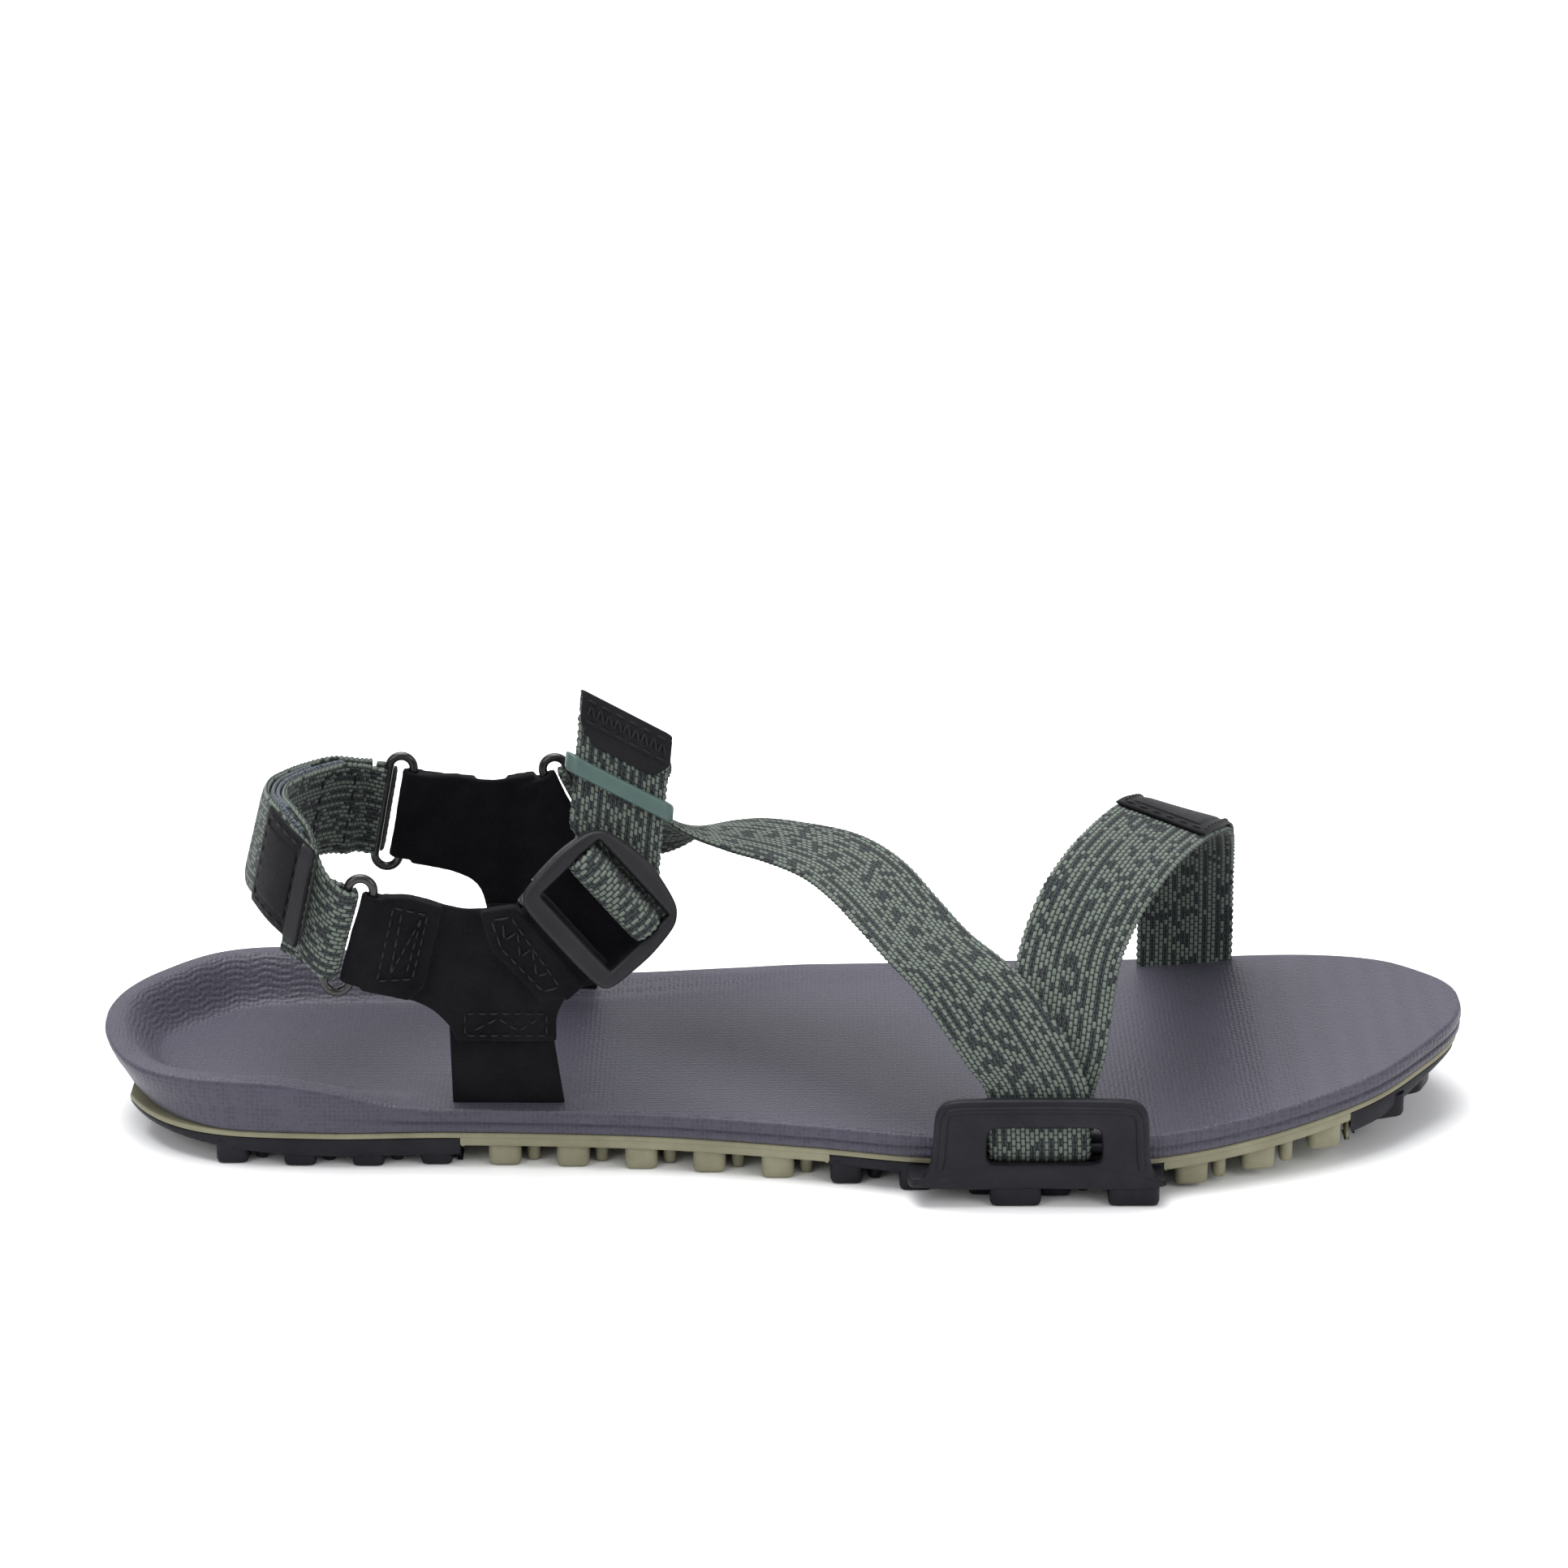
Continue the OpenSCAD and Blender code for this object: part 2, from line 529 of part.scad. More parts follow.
// A tube section round the strap and its tail, between two distances along the tail
module round_tail(outline, from, to) {
    skin([for (d = [to, from]) [for (p = outline) on_tail(p[0], p[1] - layer / 2, d)]]);
}
// Rubber band round the strap and its tail
module keeper_loop() {
    low = keeper_distance - keeper_length / 2;
    high = keeper_distance + keeper_length / 2;
    standing() color([0.24, 0.38, 0.36]) difference() {
        round_tail(rounded(keeper_inner_width + 2 * keeper_wall, keeper_inner_height + 2 * keeper_wall, 2),
                   low, high);
        round_tail(rounded(keeper_inner_width, keeper_inner_height, 0.6), low - 1, high + 1);
    }
}

// ---- webbing ----------------------------------------------------------------------

green = [0.36, 0.43, 0.37];

forefoot_path = [
    station([50.3, -47.15, 12.6], [-1, 0, 0]), station([50.3, -47.15, 16], [-1, 0, 0]),
    station([50.3, -47.0, 21], [-1, 0, 0.04]),
    station([52.6, -45, 29.3], [-0.99, 0, 0.13]), station([53.8, -40.6, 36.3], [-0.99, 0.08, 0.12]),
    station([55.8, -35, 45], [-0.99, 0.2, 0.08]), station([58.8, -30.3, 51.2], [-1, 0.02, 0.05]),
    station([63.4, -22.5, 56.0], [-0.98, -0.02, 0.1]), station([68.7, -12.5, 58.6], [-0.97, 0.08, 0.16]),
    station([74.7, -0.5, 59.2], [-0.95, 0.2, 0.24]), station([79.3, 13.5, 56], [-0.95, 0.16, 0.26]),
    station([81.8, 25.6, 50.8], [-0.96, 0, 0.25]), station([83, 35, 43.3], [-0.97, -0.06, 0.22]),
    station([83.7, 42, 31.5], [-0.99, -0.05, 0.08]), station([84.1, 45, 20], [-1, 0, 0]),
    station([84.1, 45.1, 12.8], [-1, 0, 0]), station([84.1, 45.1, 10.3], [-1, 0, -0.04]),
    station([84.1, 44.2, 8.95], [-1, 0, -0.08]), station([84.1, 42.4, 8.67], [-1, 0, -0.08]),
    station([84.1, 33.6, 8.67], [-1, 0, -0.08])];
module forefoot_strap() {
    standing() color(green) strap(forefoot_path);
}
module forefoot_label() {
    standing() color([0.06, 0.06, 0.07])
        patch_on(forefoot_path, 9, 12, 0.8, half_web + bond + 0.5);
}

instep_path = concat(
    [station([48.6, -47.15, 12.2], [1, 0, 0])],
    turn([48.6, wing_bar[1], wing_bar[2]], [1, 0, 0], [0, 1, 0], [0, 0, -1], 1.1 + half_web, 0, 180,
         webbing_width),
    [station([48.4, -50.85, 14], [1, 0, 0]), station([48.2, -50.8, 22], [1, 0, 0.02]),
     station([45.2, -49, 28.8], [0.97, 0, 0.24]), station([40.8, -45.5, 34.9], [0.95, 0.1, 0.28]),
     station([34.9, -40, 41.2], [0.92, 0.22, 0.13]), station([28.1, -32.5, 45.2], [0.86, 0.5, 0.05]),
     station([22.5, -24, 48.8], [0.81, 0.58, 0.08]), station([16.7, -14.5, 52.2], [0.74, 0.65, 0.15]),
     station([9.4, -3.5, 53.6], [0.62, 0.77, 0.15]), station([0.6, 5.5, 53.3], [0.48, 0.87, 0.08]),
     station([-9, 13.5, 52.3], [0.32, 0.94, -0.02]), station([-18, 20, 51], [0.3, 0.9, -0.3]),
     station([-25.5, 24.2, 50.8], [0.36, 0.55, -0.7]),
     station([-31.6, 27.4, 52.2], [0.42, 0.04, -0.87], 19.4),
     station([-37.2, 30.1, 53.9], instep_ring_axis, fold_width),
     station([-39.2, 30.22, 53], instep_ring_axis, fold_width)]);
module instep_strap() {
    standing() color(green) strap(instep_path, slanted = true);
}

instep_bar = instep_ring_centre - ring_half_gap * instep_ring_ahead;
// From the instep ring, over the front of the ankle
ankle_over = [
    station([-33.6, 33.6, 58.2], [0.6, 0.1, -0.79], 19.4), station([-31.3, 28, 65], [0.77, 0.15, -0.62]),
    station([-32, 18, 71.2], [0.86, 0, -0.47]), station([-33, 8.2, 74.8], [0.9, 0, -0.42])];
module ankle_strap_medial() {
    standing() color(green) strap(concat(
        turn(instep_bar, instep_ring_axis, [0, -1, 0], instep_ring_ahead, wrap_on_wire, 20, 180,
             fold_width, 5),
        [station(instep_bar + [1.4, wrap_on_wire, 0.7], instep_ring_axis, fold_width),
         station([-37.6, 34.6, 54.3], instep_ring_axis, fold_width)], ankle_over),
        slanted = true);
}

in_buckle = 19.6;   // width of the webbing where the buckle squeezes it
function run_at(distance) = on_tail(0, -layer - 0.05, distance);
// From the split over the ankle, down under the tail, through the buckle and over its middle bar
ankle_lateral_path = concat(
    [station([-33.3, 5, 76], [0.9, 0, -0.42]), station([-33, -3.5, 78.6], [0.89, 0.06, -0.44]),
     station([-32.2, -10.5, 80.4], [0.87, 0.1, -0.47]), station([-31.6, -15, 80.6], [0.87, 0.08, -0.48]),
     station(on_tail(0, -layer - 0.6, 18.6), tail_across)],
    [for (d = [16.4, 12, 7, 2.5]) station(run_at(d), tail_across)],
    [station(on_buckle(-3, 6.6, -4.7), [0.72, 0.02, -0.69]),
     station(on_buckle(-0.4, 3.2, -4.3), buckle_along, in_buckle),
     station(on_buckle(0, 1.1, -3), buckle_along, in_buckle)],
    turn(on_buckle(0, middle_bar, 0), buckle_along, -buckle_up, buckle_out,
         bar_radius + 0.15 + half_web, -5, 150, in_buckle, 6),
    [station(on_buckle(0, 6.2, -0.8), buckle_along, in_buckle),
     station(on_buckle(-0.5, 6.9, -2.9), [0.68, 0.01, -0.73], in_buckle),
     station(on_tail(0, 0, 1.5), tail_across), station(on_tail(0, 0, 3.5), tail_across)]);
module ankle_strap_lateral() {
    standing() color(green) strap(ankle_lateral_path, slanted = true);
}

tail_split = 3.7;
tail_length = norm(tail_end - tail_start);
module strap_tail() {
    standing() color(green)
        strap([station(on_tail(0, 0, tail_split), tail_across), station(tail_end, tail_across)],
              steps = 1, slanted = true);
}
// A flat plate on the tail, from its outline across and along, between two levels outward
module tail_plate(outline, from, to) {
    skin([for (out = [from, to]) [for (p = outline) on_tail(p[0], out, tail_length + p[1])]]);
}
// Suede tab folded over the end of the tail
module tail_end_tab() {
    wall = 0.9;
    face = half_web + bond;
    function tongue(reach) = [[-9.8, 0.7], [-9.8, -reach + 2.5], [-7.5, -reach], [7.5, -reach],
                              [9.8, -reach + 2.5], [9.8, 0.7]];
    standing() color([0.06, 0.06, 0.07]) {
        tail_plate(tongue(10), face, face + wall - 0.1);
        tail_plate(tongue(6), -face - wall + 0.1, -face);
        tail_plate([[-10, bond], [10, bond], [10, 1.2], [-10, 1.2]], -face - wall, face + wall);
    }
}

// ---- heel strap -------------------------------------------------------------------
// The path of the outer webbing, from the outer side round the back to the inner ring

function edge_pair(top, bottom) = station((top + bottom) / 2, top - bottom);
heel_path = [
    edge_pair([-90, -33, 65.4], [-94.4, -33, 45.4]), edge_pair([-94.2, -30.4, 68.7], [-99, -30.2, 49.2]),
    edge_pair([-98.5, -23.5, 71.2], [-103, -23.5, 51.5]), edge_pair([-101.3, -14, 70.7], [-105.9, -14, 51]),
    edge_pair([-101.8, -2, 69.4], [-106.8, -2, 49.9]), edge_pair([-100.2, 8, 67.7], [-105, 8, 48]),
    edge_pair([-96.6, 17.5, 66.2], [-101, 17.5, 46.6]), edge_pair([-91, 26, 64.9], [-95.1, 26, 45]),
    edge_pair([-86.4, 31, 62.6], [-90.4, 31, 43])];
lateral_bar = lateral_ring_centre - ring_half_gap * lateral_ring_ahead;
medial_bar = medial_ring_centre - ring_half_gap * medial_ring_ahead;
pile_thickness = 0.9;
pile_lift = half_web + bond + pile_thickness / 2;
inner_lift = 2 * half_web + 2 * pile_thickness + 3 * bond;

function lifted(path, i, lift) =
    let (r = strap_ring(path, i, 0.01, lift, true))
    station((r[0] + r[2]) / 2, across_of(path[i]), path[i][6]);
heel_fine = curve(heel_path, 4);
// The outer layer ends in a loop round the rear bar of the inner ring
heel_flap_path = concat(heel_fine, curve(concat(
    [station(medial_bar + [-3.6, 1.9, 0.8], medial_ring_axis, 19.2)],
    turn(medial_bar, medial_ring_axis, [0, 1, 0], medial_ring_ahead, wrap_on_wire, 0, 50,
         fold_width, 2)), 3));
// The inner layer starts inside, turns round the outer ring's rear bar and passes the heel
heel_inner_path = concat(
    curve(concat(
        [station(lateral_bar + [-9, 7, 2.6], lateral_ring_axis, fold_width),
         station(lateral_bar + [-4, 3.4, 1.1], lateral_ring_axis, fold_width)],
        turn(lateral_bar, lateral_ring_axis, [0, 1, 0], lateral_ring_ahead, wrap_on_wire, 0, 180,
             fold_width, 6),
        [station(lateral_bar + [-3.2, -0.4, 2.2], [0.25, 0, 0.968], 19.2)]), 3),
    [for (i = [5 : len(heel_fine) - 3]) lifted(heel_fine, i, inner_lift)],
    [station(medial_bar + [-3.6, -1.9, 0.8], medial_ring_axis, 19),
     station(medial_bar + [-0.2, -wrap_on_wire, 0], medial_ring_axis, fold_width)]);

module heel_strap() {
    standing() color(green) strap(heel_inner_path, steps = 1, slanted = true);
}
// Loop pile on the outer face of the inner layer
module heel_strap_pile() {
    standing() color([0.22, 0.27, 0.33])
        patch_on(heel_path, 2, 7, pile_thickness, inner_lift - pile_lift, true);
}
module heel_flap() {
    standing() color(green) strap(heel_flap_path, steps = 1, slanted = true);
}
// Hook pile on the inner face of the flap
module heel_flap_hooks() {
    standing() color([0.16, 0.19, 0.24]) patch_on(heel_path, 1, 6, pile_thickness, pile_lift, true);
}
tab_thickness = 0.9;
edge_thickness = 1.1;
module pull_tab() {
    standing() color([0.06, 0.06, 0.07])
        patch_on(heel_path, 0, 2, tab_thickness, -half_web - bond - tab_thickness / 2, true);
}
// Ribbed strip along the free edge of the pull tab
module pull_tab_edge() {
    standing() color([0.10, 0.10, 0.12])
        patch_on(heel_path, 0, 0.5, edge_thickness,
                 -half_web - 2 * bond - tab_thickness - edge_thickness / 2, true);
}

footbed();
outsole_olive();
outsole_heel_pad();
outsole_ball_pad();
outsole_toe_pad();
lateral_leg();
lateral_yoke();
medial_leg();
medial_yoke();
buckle_backing();
lateral_heel_ring();
medial_heel_ring();
medial_instep_ring();
forefoot_strap();
forefoot_label();
instep_strap();
ankle_strap_medial();
ankle_strap_lateral();
strap_tail();
tail_end_tab();
keeper_loop();
buckle();
heel_strap();
heel_strap_pile();
heel_flap();
heel_flap_hooks();
pull_tab();
pull_tab_edge();
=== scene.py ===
"""Strappy sport sandal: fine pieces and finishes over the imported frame.

Lengths are millimetres, as in the part's source, until build() makes a mesh in metres.
"""
import math
from functools import reduce

import bmesh
import bpy
import numpy as np
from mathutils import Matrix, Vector


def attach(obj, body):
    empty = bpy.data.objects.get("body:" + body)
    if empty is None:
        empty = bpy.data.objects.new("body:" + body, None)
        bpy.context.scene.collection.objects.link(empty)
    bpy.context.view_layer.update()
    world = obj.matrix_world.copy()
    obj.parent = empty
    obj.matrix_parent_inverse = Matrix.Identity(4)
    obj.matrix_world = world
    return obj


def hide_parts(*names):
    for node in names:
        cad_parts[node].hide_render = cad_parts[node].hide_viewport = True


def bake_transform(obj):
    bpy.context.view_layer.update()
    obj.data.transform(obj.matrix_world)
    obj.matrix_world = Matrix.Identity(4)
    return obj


MM = 0.001
GROUND = 1.0  # heights below are measured from this far above the ground
STRAP = 20.0  # width of the webbing
WEBBING = 1.5  # its thickness
LAYER = WEBBING + 0.1  # a layer of webbing with the gap to the next one
COLUMNS = 22  # warp columns across a strap
STITCH = 1.5  # length of one warp stitch
RELIEF = 0.16  # height of a warp stitch
WOVEN_POINTS, FLAT_POINTS = 64, 40  # steps across a woven face and across a flat one
CURVE_STEPS = 20  # steps between two stations of a strap

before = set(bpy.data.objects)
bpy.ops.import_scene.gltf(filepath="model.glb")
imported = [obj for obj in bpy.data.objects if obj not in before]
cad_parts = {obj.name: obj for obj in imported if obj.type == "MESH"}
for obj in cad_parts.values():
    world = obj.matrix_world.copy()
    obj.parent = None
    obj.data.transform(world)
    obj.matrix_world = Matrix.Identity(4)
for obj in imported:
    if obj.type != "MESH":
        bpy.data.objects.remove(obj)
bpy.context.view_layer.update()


# ---- numbers -----------------------------------------------------------------------

def unit(v):
    v = np.asarray(v, float)
    return v / np.linalg.norm(v)


def ease(u):
    u = np.clip(u, 0, 1)
    return u * u * (3 - 2 * u)


def curve(points, steps):
    """A smooth curve through points of any size."""
    p = np.array(points, float)
    gap = np.maximum(np.linalg.norm(np.diff(p[:, :3], axis=0), axis=1), 0.01)[:, None]
    chord = np.diff(p, axis=0) / gap
    tangent = np.empty_like(p)
    tangent[0], tangent[-1] = chord[0], chord[-1]
    tangent[1:-1] = (chord[:-1] * gap[1:] + chord[1:] * gap[:-1]) / (gap[:-1] + gap[1:])
    out = []
    for i in range(len(p) - 1):
        t = (np.arange(steps) / steps)[:, None]
        v = 1 - t
        out.append(p[i] * (1 + 2 * t) * v * v + tangent[i] * gap[i] * t * v * v
                   + p[i + 1] * t * t * (3 - 2 * t) - tangent[i + 1] * gap[i] * t * t * v)
    return np.vstack(out + [p[-1:]])


def resample(path, spacing):
    """The same line with even spacing, and the distance along it."""
    far = np.concatenate([[0], np.cumsum(np.linalg.norm(np.diff(path[:, :3], axis=0), axis=1))])
    even = np.linspace(0, far[-1], max(2, int(round(far[-1] / spacing)) + 1))
    return np.column_stack([np.interp(even, far, path[:, k]) for k in range(path.shape[1])]), even


def smooth_list(table, s):
    """A smooth value at s through rows of (s, value)."""
    xs, ys = np.array(table, float).T
    slope = np.empty(len(xs))
    slope[0] = (ys[1] - ys[0]) / (xs[1] - xs[0])
    slope[-1] = (ys[-1] - ys[-2]) / (xs[-1] - xs[-2])
    slope[1:-1] = (ys[2:] - ys[:-2]) / (xs[2:] - xs[:-2])
    s = np.clip(np.asarray(s, float), xs[0], xs[-1])
    i = np.clip(np.searchsorted(xs, s, side="left") - 1, 0, len(xs) - 2)
    h = xs[i + 1] - xs[i]
    u = (s - xs[i]) / h
    v = 1 - u
    return (ys[i] * (1 + 2 * u) * v * v + slope[i] * h * u * v * v
            + ys[i + 1] * u * u * (3 - 2 * u) - slope[i + 1] * h * u * u * v)


# ---- meshes ------------------------------------------------------------------------

def build(name, points, faces, material, uv=None, crisp=None):
    """A mesh object from millimetre points, with uv as one pair of millimetres for each point.

    Edges that turn by more than crisp degrees are shaded sharp.
    """
    points = (np.asarray(points, float) + [0, 0, GROUND]) * MM
    name = name + "_fine"
    mesh = bpy.data.meshes.new(name)
    mesh.from_pydata(points.tolist(), [], faces)
    if uv is not None:
        corner = np.empty(len(mesh.loops), np.int32)
        mesh.loops.foreach_get("vertex_index", corner)
        layer = mesh.uv_layers.new(name="millimetres")
        layer.data.foreach_set("uv", np.asarray(uv, np.float32)[corner].ravel())
    mesh.polygons.foreach_set("use_smooth", [True] * len(mesh.polygons))
    mesh.validate()
    shell = bmesh.new()
    shell.from_mesh(mesh)
    bmesh.ops.recalc_face_normals(shell, faces=shell.faces)
    shell.to_mesh(mesh)
    shell.free()
    if crisp:
        mesh.set_sharp_from_angle(angle=math.radians(crisp))
    made = bpy.data.objects.new(name, mesh)
    bpy.context.scene.collection.objects.link(made)
    made.data.materials.append(material)
    return made


def tube_faces(rings, across, closed=False, capped=True):
    """Quads between rings that each have the same number of points."""
    faces = []
    for i in range(rings if closed else rings - 1):
        a, b = i * across, (i + 1) % rings * across
        faces += [(a + j, a + (j + 1) % across, b + (j + 1) % across, b + j) for j in range(across)]
    if capped and not closed:
        faces.append(tuple(range(across))[::-1])
        faces.append(tuple((rings - 1) * across + j for j in range(across)))
    return faces


def place(made, body, slot, *nodes):
    """Ties a piece to its body and hides the CAD nodes it stands for; slot is not used."""
    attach(made, body)
    if nodes:
        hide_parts(*nodes)
    return made


def joined(parts):
    """One list of points and one of faces from several (points, faces)."""
    points, faces, start = [], [], 0
    for p, f in parts:
        points.append(p)
        faces += [tuple(k + start for k in face) for face in f]
        start += len(p)
    return np.vstack(points), faces


# ---- straps ------------------------------------------------------------------------

def at(p, across, width=STRAP):
    """One station of a strap: its middle, the direction across it and its width."""
    return [*p, *across, width]


def edge_pair(top, bottom):
    """One station of a strap from the places of its two edges."""
    top, bottom = np.array(top, float), np.array(bottom, float)
    return at((top + bottom) / 2, top - bottom)


def turn(centre, bar, out, side, radius, start, end, width, count=6):
    """Stations that pass round a bar."""
    angles = np.radians(np.linspace(start, end, count + 1))
    return [at(centre + radius * (np.cos(a) * out + np.sin(a) * side), bar, width) for a in angles]


def strap_frame(path, lift=0.0):
    """Middle, across and up at each row of a dense path, moved by lift along up."""
    along = np.gradient(path[:, :3], axis=0)
    across = path[:, 3:6] / np.linalg.norm(path[:, 3:6], axis=1)[:, None]
    up = np.cross(along, across)
    up /= np.linalg.norm(up, axis=1)[:, None]
    return path[:, :3] + up * lift, across, up


def square_on(stations):
    """The same stations with across made square to the path, for a strap that isn't slanted."""
    p = np.array(stations, float)
    along = np.gradient(p[:, :3], axis=0)
    along /= np.linalg.norm(along, axis=1)[:, None]
    rough = p[:, 3:6] / np.linalg.norm(p[:, 3:6], axis=1)[:, None]
    p[:, 3:6] = rough - along * (rough * along).sum(1)[:, None]
    return p


def stitch_height(u, v):
    """Height from 0 to 1 of the woven stitches at u across and v along, in millimetres."""
    column = (u + STRAP / 2) * COLUMNS / STRAP
    index = np.floor(column)
    row = v / STITCH + 0.5 * np.mod(index, 2)
    fu, fv = column - index - 0.5, row - np.floor(row) - 0.5
    return (1 - (2 * fu) ** 2) * (1 - (2 * fv) ** 4)


def ribbon_parts(path, distance, thickness, lift, relief, count, shift=0.0):
    """The closed shell of a strap, woven on both faces: its points, faces and uv."""
    middle, across, up = strap_frame(path, lift)
    f = np.linspace(-1, 1, count + 1)
    u = f * STRAP / 2
    v = distance[:, None] + shift
    body = np.sqrt(1 - np.abs(f) ** 12) * 0.86 + 0.14
    flat = 1 - np.abs(f) ** 10
    rise = relief * stitch_height(u[None], v) * flat
    back = relief * stitch_height(u[None] + STRAP / COLUMNS, v) * flat
    selvedge = 0.18 * np.sin(2 * np.pi * v / STITCH + np.where(f > 0, 0, np.pi))
    selvedge = selvedge * (np.abs(f) > 0.94) * (relief > 0)
    side = f * path[:, 6:7] / 2 + selvedge * np.sign(f)
    base = thickness / 2 * body - relief * 0.6
    wide = middle[:, None] + across[:, None] * side[..., None]
    outer = wide + up[:, None] * (base + rise)[..., None]
    inner = wide - up[:, None] * (base + back)[..., None]
    rings = np.concatenate([outer, inner[:, ::-1]], axis=1)
    uv = np.empty((*rings.shape[:2], 2))
    uv[..., 0] = np.concatenate([u, u[::-1] + 3 * STRAP])
    uv[..., 1] = v
    return rings.reshape(-1, 3), tube_faces(len(rings), rings.shape[1]), uv.reshape(-1, 2)


def ribbon(name, stations, material, thickness=WEBBING, relief=RELIEF, shift=0.0):
    """A strap through its stations. shift moves the weave's pattern along it."""
    path, distance = resample(curve(stations, CURVE_STEPS), 0.44)
    points, faces, uv = ribbon_parts(path, distance, thickness, 0.0, relief, WOVEN_POINTS, shift)
    return build(name, points, faces, material, uv)


def part_of(stations, first, last):
    """The dense path of a strap between two of its stations, and the distances along it."""
    start, end = int(round(CURVE_STEPS * first)), int(round(CURVE_STEPS * last))
    return resample(curve(stations, CURVE_STEPS)[start:end + 1], 0.5)


def layer_on(name, stations, first, last, material, thickness, lift, width=None):
    """A flat layer that follows a strap from one of its stations to another."""
    path, distance = part_of(stations, first, last)
    if width is not None:
        path[:, 6] = width
    points, faces, uv = ribbon_parts(path, distance, thickness, lift, 0.0, FLAT_POINTS)
    return build(name, points, faces, material, uv)


# ---- thread ------------------------------------------------------------------------

def stitch_parts(line, up, length=2.0, gap=0.7, radius=0.26):
    """Sewing stitches along a line that lies on a surface whose outward direction is up."""
    line = np.array(line, float)
    up = unit(up)
    far = np.concatenate([[0], np.cumsum(np.linalg.norm(np.diff(line, axis=0), axis=1))])
    count = max(1, int(far[-1] / (length + gap)))
    pitch = far[-1] / count
    parts = []
    for k in range(count):
        start, end = (np.array([np.interp(k * pitch + d, far, line[:, a]) for a in range(3)])
                      for d in (gap / 2, pitch - gap / 2))
        side = np.cross(up, unit(end - start))
        rings = []
        for s in np.linspace(0, 1, 7):
            swell = math.sin(math.pi * s)
            fat = radius * (0.35 + 0.65 * swell ** 0.5)
            spot = start + (end - start) * s + up * radius * (1.1 * swell - 0.5)
            rings += [spot + fat * (math.cos(a) * side + math.sin(a) * up)
                      for a in np.arange(8) * math.pi / 4]
        parts.append((np.array(rings), tube_faces(7, 8)))
    return parts


def zigzag(start, end, wide, count):
    """A zigzag between two points, as wide as the vector wide."""
    start, end, wide = (np.array(v, float) for v in (start, end, wide))
    return [start + (end - start) * i / count + wide * (0.5 if i % 2 else -0.5) for i in range(count + 1)]


def thread(name, parts, body):
    """Sewing thread that rides on a body. It stands for no CAD node."""
    place(build(name, *joined(parts), thread_finish), body, "black_suede")


# ---- finishes ----------------------------------------------------------------------

def feed(tree, socket, value):
    if isinstance(value, bpy.types.NodeSocket):
        tree.links.new(value, socket)
    else:
        socket.default_value = value


def node(tree, kind, inputs=None, **settings):
    made = tree.nodes.new("ShaderNode" + kind)
    for key, value in settings.items():
        setattr(made, key, value)
    for key, value in (inputs or {}).items():
        feed(tree, made.inputs[key], value)
    return made


def calc(operation, *values):
    """The result of a Math node. One of the values at least is a socket."""
    tree = next(value for value in values if isinstance(value, bpy.types.NodeSocket)).id_data
    return node(tree, "Math", dict(enumerate(values)), operation=operation).outputs[0]


def plus(*values):
    return reduce(lambda a, b: calc("ADD", a, b), values)


def minus(a, b):
    return calc("SUBTRACT", a, b)


def times(*values):
    return reduce(lambda a, b: calc("MULTIPLY", a, b), values)


def tint(share, a, b):
    """Colour a turned into colour b by a share from 0 to 1."""
    made = node(share.id_data, "Mix", data_type="RGBA")
    for socket, value in ((0, share), (6, a), (7, b)):
        feed(share.id_data, made.inputs[socket], value)
    return made.outputs[2]


def shade(colour, factor=1.0):
    return (*[c * factor for c in colour], 1)


def noise(where, scale, detail=2.0, roughness=0.5):
    inputs = {"Scale": scale, "Detail": detail, "Roughness": roughness, "Vector": where}
    return node(where.id_data, "TexNoise", inputs).outputs[0]


def cells(where, scale, randomness=1.0):
    """Distance from the middle of the nearest cell."""
    inputs = {"Vector": where, "Scale": scale, "Randomness": randomness}
    return node(where.id_data, "TexVoronoi", inputs).outputs["Distance"]


def ramp(value, low, high):
    """value turned from low..high into 0..1."""
    return node(value.id_data, "MapRange", {"Value": value, "From Min": low, "From Max": high}).outputs[0]


def finish(name, colour, roughness, **settings):
    """A new material: (material, node tree, its surface node)."""
    material = bpy.data.materials.new(name)
    material.use_nodes = True
    tree = material.node_tree
    surface = tree.nodes["Principled BSDF"]
    surface.inputs["Base Color"].default_value = shade(colour)
    surface.inputs["Roughness"].default_value = roughness
    for key, value in settings.items():
        surface.inputs[key.replace("_", " ")].default_value = value
    return material, tree, surface


def paint(surface, colour):
    surface.id_data.links.new(colour, surface.inputs["Base Color"])


def roughen(surface, roughness):
    surface.id_data.links.new(roughness, surface.inputs["Roughness"])


def bump(surface, height, distance, strength=1.0):
    inputs = {"Height": height, "Distance": distance, "Strength": strength}
    surface.id_data.links.new(node(surface.id_data, "Bump", inputs).outputs[0], surface.inputs["Normal"])


def place_in_metres(tree):
    return node(tree, "TexCoord").outputs["Object"]


def uv_in_millimetres(tree):
    place_on_map = node(tree, "UVMap", uv_map="millimetres").outputs[0]
    split = node(tree, "SeparateXYZ", {0: place_on_map})
    return split.outputs[0], split.outputs[1]


# Warp columns that are mostly dark, with how much of each is dark, and the columns with dark dashes
DARK_COLUMNS = [(1, 0.5), (3, 0.65), (6, 0.65), (8, 0.3), (13, 0.7), (15, 0.5), (18, 0.7), (20, 0.4)]
DASHED_COLUMNS = (9, 10, 11)


def dark_lines(column, number):
    """Share of dark stitches that the pattern adds in a warp column at a stitch number."""
    rung = calc("LESS_THAN", calc("MODULO", number, 4.0), 1.5)
    lines = 0.0
    for dark_column, amount in DARK_COLUMNS:
        lines = plus(lines, times(calc("COMPARE", column, float(dark_column), 0.4), amount))
    for dashed_column in DASHED_COLUMNS:
        lines = plus(lines, times(calc("COMPARE", column, float(dashed_column), 0.4), rung, 0.6))
    return lines


